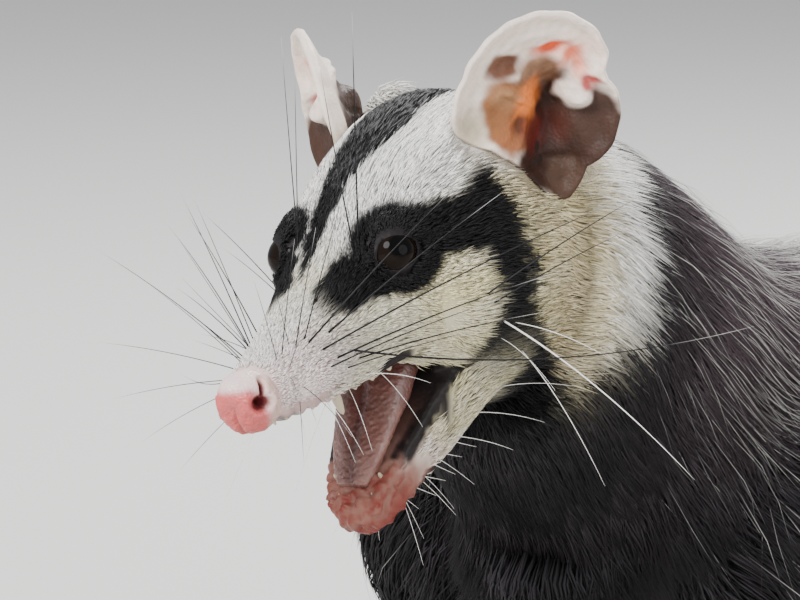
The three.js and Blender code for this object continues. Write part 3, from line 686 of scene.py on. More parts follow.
@dataclass
class Markings:
    """The colours of coat and skin, from where a point lies on the head, neck, trunk and limbs.

    Each table on the head is read at a distance behind the nose and gives an angle down from the
    crown in degrees, or a width of the stripe in millimetres.
    """

    anatomy: Anatomy
    mask_top: tuple = (
        (27, 24), (30.8, 15), (37, 18), (42.6, 24), (51, 31), (56, 41), (61, 48), (67, 46.5),
        (73, 43)
    )
    mask_low: tuple = (
        (27, 48), (31.6, 60), (38.9, 67), (45, 71), (51, 68.5), (56, 70), (61.5, 75), (66, 82),
        (74, 92)
    )
    band_front: tuple = (
        (60, 61), (76, 60.5), (101, 60), (110, 59), (119, 55.5), (132, 54), (147, 56), (160, 62),
        (176, 68),
    )
    band_back: tuple = (
        (40, 71), (63, 72), (71, 72), (82, 71), (91, 69.5), (104, 69), (116, 71), (132, 77),
        (149, 84), (180, 90),
    )
    stripe: tuple = (
        (32, 0.0), (36, 0.9), (44, 2.2), (52, 3.1), (60, 4.1), (70, 5.8), (83, 7.4), (100, 8.4),
        (114, 5), (124, 0)
    )
    stripe_shift: tuple = ((34, 1.6), (44, 3.0), (54, 3.0), (66, 2.6), (83, 1.6), (112, 0))
    ruff_edge: tuple = (
        (112, -6), (120, 0), (126, 6), (132, 12), (140, 17.5), (150, 22), (160, 25.5), (170, 28),
        (182, 31)
    )

    def crown_angle(self, angle: np.ndarray) -> np.ndarray:
        """Turn a loft's angle into degrees down from the top, the same on both sides."""
        return 90 - np.degrees(np.arcsin(np.clip(np.sin(angle), -1, 1)))

    def face(self, points: np.ndarray, survey: Survey) -> np.ndarray:
        """Colour the head: cream cheeks, white brows, black mask, stripe and band, pink muzzle.

        Args:
            points: places in millimetres.
            survey: the same places on the lofts.

        Returns:
            One colour a point.
        """
        local, s = head_places(points)
        wobble = ripple(points, 7.0, 5)
        down = self.crown_angle(survey.angle[:, 0]) + 2.5 * wobble
        colour = mix(np.array(CREAM), np.array(IVORY), 0.3 + 0.4 * ripple(points, 12.0, 6))
        colour = mix(colour, WHITE, smooth_step(66, 34, down) * smooth_step(24, 40, s))
        colour = mix(colour, IVORY, smooth_step(48, 34, s) * 0.8)
        cheek = smooth_step(66, 76, s) * smooth_step(30, 55, down)
        colour = mix(colour, BUFF, cheek * (0.55 + 0.2 * wobble))
        colour = mix(colour, MUZZLE_PINK, smooth_step(36, 18, s + 0.08 * np.abs(down - 80)) * 0.85)
        colour = mix(colour, WHITE, smooth_step(50, 25, down) * smooth_step(34, 24, s) * 0.6)
        top, low = table_value(self.mask_top, s), table_value(self.mask_low, s)
        edge = 3.4
        mask = smooth_step(top - edge, top + edge, down) * smooth_step(low + edge, low - edge, down)
        mask *= smooth_step(24, 32, s + 0.6 * wobble) * smooth_step(73.5, 70.5, s + wobble)
        front, back = table_value(self.band_front, down), table_value(self.band_back, down)
        at = s + wobble
        band = smooth_step(front - 1.6, front + 1.6, at) * smooth_step(back + 2, back - 2, at)
        band *= smooth_step(50, 62, down)
        half = table_value(self.stripe, s)
        side = np.abs(local[:, 1] - table_value(self.stripe_shift, s)) + 0.5 * wobble
        stripe = smooth_step(half + 0.9, half - 0.6, side) * (local[:, 2] > 5) * (half > 0.2)
        eyes = smooth_step(10.0, 8, self.anatomy.eye_gap(points))
        dark = np.maximum.reduce([mask, band, stripe, eyes])
        return mix(colour, BLACK, dark)

    def jaw(self, points: np.ndarray) -> np.ndarray:
        """Colour the lower jaw: bare pink tip, white chin, black throat."""
        local = carry_back(jaw_matrix(), points)
        t = -local[:, 0] + 1.2 * ripple(points, 6.0, 8)
        colour = mix(
            np.array(CREAM)[None].repeat(len(points), 0), IVORY, 0.5 + 0.4 * ripple(points, 9.0, 7)
        )
        colour = mix(colour, MUZZLE_PINK, smooth_step(32, 42, t) * 0.6)
        under = smooth_step(-9, -15, local[:, 2])
        return mix(colour, BLACK, smooth_step(14, 7, t - 10 * under))

    def trunk(self, points: np.ndarray, survey: Survey) -> np.ndarray:
        """Colour neck and trunk: a cream ruff, a whitish nape, then charcoal with a paler belly."""
        wobble = ripple(points, 9.0, 9)
        down = self.crown_angle(survey.angle[:, 3])
        x, z = points[:, 0], points[:, 2]
        colour = mix(np.array(BLACK), np.array(CHARCOAL), 0.6 + 0.4 * ripple(points, 22.0, 10))
        colour = mix(colour, PLUM, smooth_step(75, 30, down) * smooth_step(20, 50, x) * 0.75)
        edge = table_value(self.ruff_edge, z) + 3 * wobble
        pale = mix(np.array(CREAM), np.array(IVORY), 0.5 + 0.5 * ripple(points, 10.0, 11))
        pale = mix(pale, BUFF, smooth_step(12, -4, x) * (0.5 + 0.3 * wobble))
        pale = mix(pale, WHITE, smooth_step(8, 20, x) * smooth_step(128, 150, z))
        low = 122 + 10 * smooth_step(16, 2, x)
        ruff = smooth_step(edge + 4, edge - 4, x) * smooth_step(low, low + 9, z)
        belly = smooth_step(140, 165, down) * smooth_step(50, 90, x)
        colour = mix(colour, SLATE, belly * 0.8)
        return mix(colour, pale, ruff)

    def paint(self, points: np.ndarray, survey: Survey) -> np.ndarray:
        """Blend the colours of the regions by how near each point is to their lofts."""
        weight = survey.weights(2.0)
        total = self.face(points, survey) * weight[:, :1]
        total += self.jaw(points) * weight[:, 1:2]
        total += self.trunk(points, survey) * weight[:, 2:4].sum(1, keepdims=True)
        limbs = mix(np.array(BLACK), np.array(CHARCOAL), 0.4 + 0.4 * ripple(points, 15.0, 12))
        total += limbs * weight[:, 4:8].sum(1, keepdims=True)
        tail = mix(np.array(CHARCOAL), np.array(BLACK), 0.5 + 0.5 * ripple(points, 12.0, 13))
        return total + tail * weight[:, 8:].sum(1, keepdims=True)


@dataclass(frozen=True)
class Patch:
    """A soft-edged ellipse in the plane of an ear, for a fold's rise or a colour.

    across runs to the front and up runs to the top, in millimetres from the ear's middle.
    """

    across: float
    up: float
    wide: float
    tall: float
    turn: float = 0.0
    edge: float = 0.3

    def cover(self, across: np.ndarray, up: np.ndarray) -> np.ndarray:
        """Give 1 inside the ellipse, falling to 0 over its edge."""
        c, s = math.cos(rad(self.turn)), math.sin(rad(self.turn))
        a, b = across - self.across, up - self.up
        radius = np.hypot((a * c + b * s) / self.wide, (b * c - a * s) / self.tall)
        return smooth_step(1 + self.edge, 1 - self.edge, radius)


@dataclass
class Ears:
    """Both ears: thin round dishes with a soft pale rim, folds inside and a brown cup deepened by
    painted shade, with a painted orange glow.
    """

    workshop: Workshop | None = None
    rows: int = 46
    columns: int = 180
    outline: tuple = (
        (-0.16, 18.1), (0.28, 16.0), (0.78, 15.3), (1.26, 15.6), (1.71, 16.4), (2.02, 17.0),
        (2.4, 16.8), (2.67, 15.8), (2.86, 13.9), (3.0, 13.9), (3.18, 15.9), (3.49, 17.2),
        (3.79, 18.0), (4.0, 18.4), (4.16, 18.0), (4.3, 20.6), (4.44, 22.6), (4.57, 22.4),
        (4.7, 19.6), (4.93, 15.6), (5.2, 14.2), (5.5, 14.6), (5.87, 18.4), (6.123, 18.1),
        (6.563, 16.0),
    )
    folds: tuple = (
        (Patch(5.6, -4.0, 6.4, 8.2, -15, 0.45), 3.0),
        (Patch(-2.2, -5.5, 3.4, 8.5, 8, 0.6), -2.6),
        (Patch(-1.2, 4.4, 5.8, 2.4, -12, 0.5), 1.6),
        (Patch(-7.9, -0.9, 3.0, 2.8, 0, 0.5), 3.0),
        (Patch(-11.5, -7.0, 4.6, 8.0, -12, 0.5), 1.8),
        (Patch(-3.4, 8.4, 3.4, 0.9, -14, 0.7), -1.1),
        (Patch(-8.6, 5.6, 1.3, 3.2, -30, 0.7), -1.1),
        (Patch(-10.8, 1.3, 1.8, 0.8, 0, 0.7), -0.9),
        (Patch(6.6, 5.4, 3.8, 1.3, -20, 0.6), -0.7),
        (Patch(3.2, -1.6, 4.6, 0.8, 28, 0.7), 0.7),
        (Patch(3.6, -6.6, 1.0, 4.2, 25, 0.7), -0.8),
        (Patch(-3.5, -15.0, 5.4, 1.0, -8, 0.7), -1.2),
    )
    # Patches of colour in the ear's plane: the dark browns of the bowl are pigment deepened by
    # painted shade in its hollows, and the orange patches in the middle are a painted glow of light
    # shining through the ear from behind.
    tones_shade_and_glow: tuple = (
        (Patch(14.5, -7.0, 4.2, 4.0, 0, 0.8), (0.50, 0.44, 0.30), 0.8),
        (Patch(-6.4, 7.0, 6.2, 3.4, -20, 0.8), (0.94, 0.60, 0.50), 0.6),
        (Patch(-2.8, -5.2, 7.6, 9.6, 0, 0.2), (0.024, 0.012, 0.009), 1.0),
        (Patch(-11.0, -7.6, 6.4, 8.6, -14, 0.16), (0.040, 0.024, 0.018), 1.0),
        (Patch(-3.0, -15.0, 8.0, 5.6, 0, 0.18), (0.022, 0.013, 0.010), 1.0),
        (Patch(-5.6, -19.6, 4.4, 5.8, 8, 0.2), (0.050, 0.030, 0.020), 1.0),
        (Patch(-0.9, 3.4, 5.0, 3.6, -12, 0.25), (0.22, 0.12, 0.07), 1.0),
        (Patch(5.6, -4.4, 6.0, 7.8, -15, 0.16), (0.26, 0.105, 0.040), 1.0),
        (Patch(7.0, -0.5, 3.6, 2.2, 25, 0.6), (0.40, 0.21, 0.10), 0.8),
        (Patch(6.0, -8.4, 2.6, 3.0, 0, 0.6), (0.42, 0.15, 0.06), 0.8),
        (Patch(1.6, -3.0, 2.4, 4.6, 22, 0.6), (0.95, 0.25, 0.05), 1.0),
        (Patch(3.6, -7.0, 1.6, 2.4, 25, 0.6), (0.050, 0.018, 0.012), 0.9),
        (Patch(0.4, -9.6, 2.6, 3.8, 0, 0.6), (0.10, 0.012, 0.010), 0.9),
        (Patch(-4.6, -8.4, 2.4, 3.0, 0, 0.8), (0.085, 0.020, 0.015), 0.6),
        (Patch(-7.9, -0.9, 3.4, 3.1, 0, 0.22), (0.92, 0.80, 0.70), 1.0),
        (Patch(6.8, 5.4, 4.0, 2.3, -18, 0.3), (0.17, 0.080, 0.050), 1.0),
        (Patch(-3.2, 8.6, 3.2, 1.1, -14, 0.7), (0.86, 0.14, 0.05), 1.0),
        (Patch(-7.6, 7.4, 2.4, 1.4, -35, 0.8), (0.90, 0.20, 0.09), 0.9),
        (Patch(-8.8, 4.8, 1.4, 2.8, -20, 0.8), (0.90, 0.25, 0.14), 0.8),
        (Patch(-10.8, 1.3, 1.8, 1.1, 0, 0.6), (0.40, 0.04, 0.04), 0.9),
    )

    def axes(self, hand: float) -> tuple[np.ndarray, np.ndarray, np.ndarray]:
        """Give an ear's up, facing and across directions in the head's axes."""
        up = unit(np.array([0.1, hand * 0.22, 0.97]))
        face = np.array([-0.66, hand * 0.72, 0.1])
        face = unit(face - (face @ up) * up)
        return up, face, np.cross(up, face) * hand

    def cup(self, points: np.ndarray) -> np.ndarray:
        """Give 1 at points in or in front of an ear's cup, within its outline, and 0 elsewhere."""
        local = carry_back(head_matrix(), points)
        found = np.zeros(len(points))
        for hand in HANDS.values():
            up, face, across = self.axes(hand)
            middle = [behind_nose(EAR_CENTRE[0]), hand * EAR_CENTRE[1], EAR_CENTRE[2]]
            off = local - np.array(middle)
            wide, tall, height = off @ across, off @ up, off @ face
            radius = table_value(self.outline, np.arctan2(tall, wide) % (2 * np.pi))
            share = np.hypot(wide, tall) / radius
            in_front = (height > -EAR_DEPTH * (1 - share**2) - 3.2) & (height < 14)
            found = np.maximum(found, smooth_step(1.0, 0.94, share) * in_front)
        return found

    def spread(self, share: np.ndarray, angle: np.ndarray) -> tuple[np.ndarray, np.ndarray]:
        """Give places in the ear's plane: a share of the outline's radius along each angle."""
        radius = table_value(self.outline, angle) + 0.12 * np.sin(17 * angle)
        own = smooth_step(0.2, 0.9, share)
        reach = share * (radius * own + 16.0 * (1 - own))
        return reach * np.cos(angle), reach * np.sin(angle)

    def surface(
        self, hand: float, share: np.ndarray, angle: np.ndarray, inside: bool
    ) -> np.ndarray:
        """Give points on the dish at shares from its middle to its rim and angles round it.

        The bowl's depth falls with the square of the share, the rim leans back along the top and
        rolls in at its very edge, and every fold adds its rise times its cover. The outside is the
        same surface, set back by the wall, with the raised folds halved and the deep ones in full.
        """
        up, face, across = self.axes(hand)
        centre = np.array([behind_nose(EAR_CENTRE[0]), hand * EAR_CENTRE[1], EAR_CENTRE[2]])
        wide, tall = self.spread(share, angle)
        bowl = EAR_DEPTH * (1 - np.minimum(share, 1.0) ** 2)
        lean = 9 * np.maximum(0, share - 0.7) * np.maximum(0, np.sin(angle))
        rises = sum(rise * fold.cover(wide, tall) for fold, rise in self.folds)
        ribs = 0.22 * np.sin(11 * angle + 4 * share) * np.sin(np.pi * share) ** 2
        roll = 0.9 * smooth_step(0.86, 0.97, share)
        behind = np.where(rises > 0, 0.5, 1.0) * rises
        height = -bowl - lean + (rises + ribs + roll if inside else behind)
        wall = 0.0 if inside else EAR_THICKNESS * (1 - 0.3 * share) + 0.3
        off = (height - wall)[..., None] * face
        return centre + wide[..., None] * across + tall[..., None] * up + off

    def build(self) -> None:
        """Make each ear as a closed surface: out over the inside, round the rim, back behind."""
        turn = np.arange(self.columns) * 2 * np.pi / self.columns
        for side, hand in HANDS.items():
            share = 0.03 + 0.97 * np.linspace(0.0, 1.0, self.rows)
            grid, angle = np.meshgrid(share, turn, indexing="ij")
            front, back = (self.surface(hand, grid, angle, inside) for inside in (True, False))
            middle = (front[-1:] + back[-1:]) / 2
            rim = middle + 0.6 * unit(middle - front.mean((0, 1)))
            rings = np.concatenate([front, rim, back[::-1]])
            shell = Shell.from_rings(carry(head_matrix(), rings))
            piece = self.workshop.mesh(f"ear_{side}_skin", shell)
            where = np.concatenate([share, [1.0], share[::-1]])
            is_front = np.concatenate([np.ones(self.rows), [0.5], np.zeros(self.rows)])
            colour = self.colours(shell.points, where, is_front, turn)
            self.workshop.paint(piece, "tint", colour)
            finish = SkinFinish(
                "ear_leather", deep=(0.16, 0.06, 0.04), roughness=0.5, mottle=0.22, scale=1300.0,
                bump=0.35, subsurface=0.05, specular=0.15
            )
            self.workshop.finish(piece, [finish.material()], Finish.EAR, f"ear_{side}")

    def colours(
        self, points: np.ndarray, where: np.ndarray, front: np.ndarray, turn: np.ndarray
    ) -> np.ndarray:
        """Colour the dish: a pale rim, a brown cup deepened by painted shade in its hollows, a
        painted orange glow of light through the ear, and red creases above and behind it.

        Args:
            points: the shell's points; the last two are the fans' middles.
            where: each ring's share from the middle.
            front: 1 for rings on the inside of the cup.
            turn: each column's angle.

        Returns:
            One colour a point.
        """
        share = np.append(np.repeat(where, self.columns), [0.0, 0.0])
        inner = np.append(np.repeat(front, self.columns), [1.0, 0.0])
        angle = np.append(np.tile(turn, len(where)), [0.0, 0.0])
        wide, tall = self.spread(share, angle)
        wide, tall = wide + 0.5 * ripple(points, 5.0, 50), tall + 0.5 * ripple(points, 5.0, 53)
        colour = np.tile(np.array(EAR_PALE), (len(points), 1))
        # Lay the patches: pigment, painted shade and painted glow.
        for patch, tone, amount in self.tones_shade_and_glow:
            colour = mix(colour, tone, patch.cover(wide, tall) * amount)
        colour *= (1 + 0.10 * ripple(points, 1.6, 51))[:, None]
        dark = smooth_step(0.8, 0.35, share + 0.03 * tall)
        outer = mix(np.array(EAR_PALE), (0.07, 0.05, 0.042), dark)
        return np.clip(mix(outer, colour, inner), 0, 1)


@dataclass
class Skin:
    """The animal's one skin: head and jaw, trunk and limbs, and feet, all fused from lofts."""

    anatomy: Anatomy
    markings: Markings
    workshop: Workshop
    head_cell: float = 0.72
    trunk_cell: float = 2.05
    foot_cell: float = 0.75

    def build(self) -> bpy.types.Object:
        """Make the whole skin and paint it."""
        skin = self.head()
        for other in (self.trunk(), self.feet()):
            self.workshop.combine(skin, other, "UNION")
        skin.name = "skin"
        points = self.workshop.points_of(skin)
        points[:, 2] = np.maximum(points[:, 2], 0.0)
        self.workshop.move_points(skin, points)
        self.colour(skin, points)
        nodes = ["head", "lower_jaw", "neck", "torso", "tail_root"]
        nodes += [
            f"{part}_{side}" for part in ("foreleg", "hindleg", "forefoot", "hindfoot")
            for side in HANDS
        ]
        self.workshop.finish(skin, [skin_material()], Finish.FACE, *nodes)
        return skin

    def shell_of(self, piece: bpy.types.Object) -> Shell:
        """Take a piece's triangles back into a shell and remove the piece."""
        piece.data.calc_loop_triangles()
        flat = np.empty(len(piece.data.loop_triangles) * 3, np.int32)
        piece.data.loop_triangles.foreach_get("vertices", flat)
        shell = Shell(self.workshop.points_of(piece), flat.reshape(-1, 3))
        bpy.data.objects.remove(piece)
        return shell

    def ball(self, centre: np.ndarray, radius: float, scale: tuple = (1, 1, 1)) -> Shell:
        """Make a closed ball: rings of a sine's radius along x, stretched in the head's axes."""
        angle = np.linspace(0.12, np.pi - 0.12, 14)
        turn = np.arange(24) * 2 * np.pi / 24
        ring = np.stack([
            np.cos(angle)[:, None] * np.ones(24),
            np.sin(angle)[:, None] * np.cos(turn),
            np.sin(angle)[:, None] * np.sin(turn),
        ], -1)
        return Shell.from_rings(ring * radius * np.array(scale) @ head_matrix()[:3, :3].T + centre)

    def on_head(self, s: float, y: float, z: float) -> np.ndarray:
        """Turn a place behind the nose, to the side and up into the maker's frame."""
        return carry(head_matrix(), np.array([behind_nose(s), y, z]))

    def lip_lines(self, loft: Loft, first: float, last: float, angle: float) -> list[np.ndarray]:
        """Give the line of a lip on both sides, between two shares of a jaw's length."""
        at = np.linspace(first, last, 26)
        return [loft.point(at, np.full(26, turn)) for turn in (angle, np.pi - angle)]

    def lips(self) -> list[Shell]:
        """Make a soft roll along each edge of both jaws, thickest halfway."""
        radii = 1.5 * (0.5 + 0.5 * np.sin(np.pi * np.linspace(0, 1, 26)))
        lines = self.lip_lines(self.anatomy.skull, 0.18, 0.52, UPPER_LIP_ANGLE)
        lines += self.lip_lines(self.anatomy.jaw, 0.12, 0.66, LOWER_LIP_ANGLE)
        return [closed_tube(line, radii, 12) for line in lines]

    def head(self) -> bpy.types.Object:
        """Fuse skull, jaw, lips, lids and ear roots, shape them and cut the sockets."""
        skull = self.workshop.mesh("skull", self.anatomy.skull.surface(130, 96))
        cavity = self.workshop.mesh("cavity", self.anatomy.mouth.surface(60, 60))
        self.workshop.combine(skull, cavity, "DIFFERENCE")
        shells = [self.shell_of(skull), self.anatomy.jaw.surface(70, 72)]
        shells += self.lips()
        for hand in HANDS.values():
            shells += [
                self.ball(self.on_head(22, hand * 5.2, 1.2), 4.9, (1.9, 0.9, 1.0)),
                self.ball(self.on_head(54, hand * 12.0, 19.4), 5.2, (1.7, 1.0, 0.8)),
                self.ball(self.on_head(62, hand * 16.8, 4), 8.0, (1.6, 0.85, 1.5)),
                self.ear_root(hand),
            ] + self.lids(hand)
        head = self.workshop.remeshed("head_skin", Shell.joined(shells), self.head_cell, 5)
        self.shape(head)
        for hand in HANDS.values():
            socket = self.workshop.mesh(
                "socket", self.ball(self.anatomy.eye_centre(hand), EYE_RADIUS + 0.05)
            )
            self.workshop.combine(head, socket, "DIFFERENCE")
        return head

    def ear_root(self, hand: float) -> Shell:
        """Make the fleshy root that carries an ear."""
        path = np.array([self.on_head(*place) for place in (
            (86, hand * 13, 12), (93, hand * 15, 19), (98, hand * 17, 26), (98, hand * 19.5, 31),
        )])
        at = np.linspace(0, 1, 16)
        return closed_tube(
            smooth_line(path, at), np.interp(at, [0, 0.33, 0.66, 1], [9, 7.5, 5.6, 3.4]), 24
        )

    def lids(self, hand: float) -> list[Shell]:
        """Make both lids as one ring round the eye, thick above and pointed at the corners."""
        gaze = self.anatomy.gaze(hand)
        back = unit(head_matrix()[:3, :3] @ np.array([1.0, 0.0, 0.12]))
        across = unit(back - (back @ gaze) * gaze)
        up = np.cross(across, gaze) * hand
        turn = np.linspace(0, 2 * np.pi, 41)[:-1]
        wide = 4.7 + 0.6 * np.cos(2 * turn)
        ring = (
            self.anatomy.eye_centre(hand)
            + wide[:, None] * np.cos(turn)[:, None] * across
            + (4.1 - 0.2 * np.cos(2 * turn))[:, None] * np.sin(turn)[:, None] * up
            + (EYE_RADIUS - 2.5 - 0.4 * np.cos(2 * turn))[:, None] * gaze
        )
        halves = (np.arange(0, 22), np.arange(20, 42) % 40)
        thick = (0.85, 0.7)
        return [closed_tube(ring[half], np.full(22, size), 12) for half, size in zip(halves, thick)]

    def shape(self, head: bpy.types.Object) -> None:
        """Press hollows, ridges and wrinkles into the head along its normals.

        Each is a bell of given place, reach and height in the head's axes. The palate and the
        jaw's tip get rows of sine ridges.
        """
        points = self.workshop.points_of(head)
        normals = self.workshop.normals_of(head)
        local, s = head_places(points)
        side, z = np.abs(local[:, 1]), local[:, 2]
        bells = (
            (41.0, 11.5, 12.5, 5.0, -1.1), (57.0, 18.5, 12.0, 6.0, -0.9),
            (16.0, 0.0, 10.4, 4.0, -0.5), (33.0, 11.5, 3.0, 5.0, -0.6),
            (55.0, 13.0, -14.0, 4.0, 0.6), (5.0, 3.6, 3.4, 2.8, -3.4),
        )
        height = np.zeros(len(points))
        for bell_s, bell_y, bell_z, reach, rise in bells:
            gap = (s - bell_s) ** 2 + (side - bell_y) ** 2 + (z - bell_z) ** 2
            height += rise * np.exp(-gap / reach**2)
        inner = (normals @ head_matrix()[:3, 2] < -0.5) * (s < 66) * (side < 8.5) * (s > 10)
        height += 0.35 * inner * np.sin(2 * np.pi * (s + 0.12 * side**2) / 4.6)
        chin = carry_back(jaw_matrix(), points)
        near_tip = (np.abs(chin[:, 2]) < 12) & (np.abs(chin[:, 1]) < 12)
        tip = smooth_step(42, 48, -chin[:, 0]) * near_tip
        creases = np.sin(2.6 * chin[:, 0] + 0.9 * chin[:, 1] + 2 * ripple(points, 5, 2))
        height += 0.34 * tip * creases + 0.4 * tip * ripple(points, 3.2, 3)
        self.workshop.move_points(head, points + normals * height[:, None])

    def trunk(self) -> bpy.types.Object:
        """Fuse neck, torso, legs and the tail's furred root."""
        apart = ("skull", "jaw", "tail")
        lofts = [loft for name, loft in self.anatomy.lofts.items() if name not in apart]
        shells = [loft.surface(90, 72) for loft in lofts]
        root = Loft(tuple(Anatomy.round_row(row) for row in self.anatomy.tail_line[:4]))
        shells.append(root.surface(60, 48))
        return self.workshop.remeshed("trunk_skin", Shell.joined(shells), self.trunk_cell, 7)

    def feet(self) -> bpy.types.Object:
        """Fuse all palms, digits and ankles."""
        shells = []
        for side, hand in HANDS.items():
            for legs, fore in ((self.anatomy.forelegs, True), (self.anatomy.hindlegs, False)):
                shells += Foot(hand, legs[side], fore).shells()
        return self.workshop.remeshed("feet_skin", Shell.joined(shells), self.foot_cell, 4)

    def colour(self, skin: bpy.types.Object, points: np.ndarray) -> None:
        """Paint the skin: the coat's markings dimmed as painted shade under the coat, the mouth's
        inner skin in painted shade, lips, lids and bare soles.

        Args:
            skin: the piece.
            points: its vertices in millimetres.
        """
        normals = self.workshop.normals_of(skin)
        # The markings are dimmed to eight tenths: painted shade under the coat.
        colours = self.markings.paint(points, self.anatomy.survey(points)) * 0.8
        local, s = head_places(points)
        inward = normals @ head_matrix()[:3, :3]
        chin = carry_back(jaw_matrix(), points)
        up = normals @ jaw_matrix()[:3, :3]
        near_head = (points[:, 0] < 40) & (points[:, 2] > 90)
        palate = near_head & (inward[:, 2] < -0.35) & (s < 68) & (s > 9)
        palate &= np.abs(local[:, 1]) < 9.5
        off_mouth = self.anatomy.mouth.locate(points)[2]
        cavity = near_head & (off_mouth < 0.8)
        floor = near_head & (up[:, 2] > 0.25) & (-chin[:, 0] > 8) & (np.abs(chin[:, 1]) < 15)
        floor &= (chin[:, 2] > -1.5) & (chin[:, 2] < 9)
        wet = np.maximum.reduce([palate * 1.0, cavity * 1.0, floor * 1.0])
        # Painted shade inside the mouth: the pink lining is painted dark brown, darker still deep
        # in the mouth and under the palate.
        deep = np.maximum(smooth_step(30, 52, s) * (chin[:, 2] > -3), 0.75 * palate)
        shaded_lining = mix(np.array(SHADED_LINING), np.array(PINK), 0.1 + 0.1 * ripple(points, 6, 30))
        shaded_lining = mix(shaded_lining, THROAT_SHADE, deep)
        colours = mix(colours, shaded_lining, wet)
        inner_lip = palate * smooth_step(27, 23, s) * smooth_step(2.6, 4.6, np.abs(local[:, 1]))
        colours = mix(colours, INNER_LIP, inner_lip * 0.9)
        worn = -chin[:, 0] - 0.5 * np.abs(chin[:, 2] + 3) + 2.0 * ripple(points, 6, 32)
        tip = near_head * smooth_step(37, 46, worn) * (np.abs(chin[:, 2]) < 14)
        tip *= np.abs(chin[:, 1]) < 14
        flesh = mix(np.array(JAW_PALE), np.array(JAW_FLESH), smooth_step(38, 50, -chin[:, 0]))
        raw = smooth_step(-0.6, 0.9, ripple(points, 3, 31)) * smooth_step(42, 52, -chin[:, 0])
        front = smooth_step(44, 52, -chin[:, 0]) * smooth_step(-1.5, -4.5, chin[:, 2])
        raw = np.maximum(raw, front * 0.85)
        colours = mix(colours, mix(flesh, JAW_RED, raw), tip)
        muzzle = near_head * smooth_step(13, 9, s) * (chin[:, 2] > 8)
        colours = mix(colours, PALE_PINK, muzzle * 0.8)
        lip = np.zeros(len(points))
        lines = self.lip_lines(self.anatomy.skull, 0.36, 0.45, UPPER_LIP_ANGLE)
        lines += self.lip_lines(self.anatomy.jaw, 0.42, 0.78, LOWER_LIP_ANGLE)
        for line in lines:
            gap = np.sqrt(((points[near_head, None] - line[None]) ** 2).sum(2).min(1))
            gap += 0.4 * ripple(points[near_head], 4.0, 33)
            lip[near_head] = np.maximum(lip[near_head], smooth_step(2.7, 1.3, gap))
        rim = near_head * smooth_step(3.4, 2.2, off_mouth) * smooth_step(46, 52, s)
        lip = np.maximum(lip, rim * (local[:, 2] < -4))
        colours = mix(colours, LIP_BLACK, lip)
        wet = np.maximum(wet, 0.5 * lip)
        lid = self.anatomy.eye_gap(points)
        colours = mix(colours, BLACK, smooth_step(8.6, 7.4, lid))
        wet = np.maximum(wet, 0.5 * smooth_step(5.7, 5.5, lid))
        # A dark red spot at each nostril: its lining, darkened as painted shade in the hole.
        nostril = np.hypot(np.hypot(s - 5.0, np.abs(local[:, 1]) - 3.6), local[:, 2] - 3.4)
        colours = mix(colours, NOSTRIL, smooth_step(5.0, 4.4, nostril))
        # Skin inside an ear's outline takes the cup's dark brown: pigment with painted shade.
        colours = mix(colours, CUP_BROWN, Ears().cup(points))
        low = smooth_step(8, 3, points[:, 2]) * (normals[:, 2] < 0.2)
        foot = smooth_step(16, 10, points[:, 2])
        colours = mix(colours, BARE_FOOT, np.maximum(foot * 0.5, low))
        self.workshop.paint(skin, "tint", colours)
        self.workshop.paint(skin, "wet", np.repeat(np.maximum(wet, tip * 0.7)[:, None], 3, axis=1))


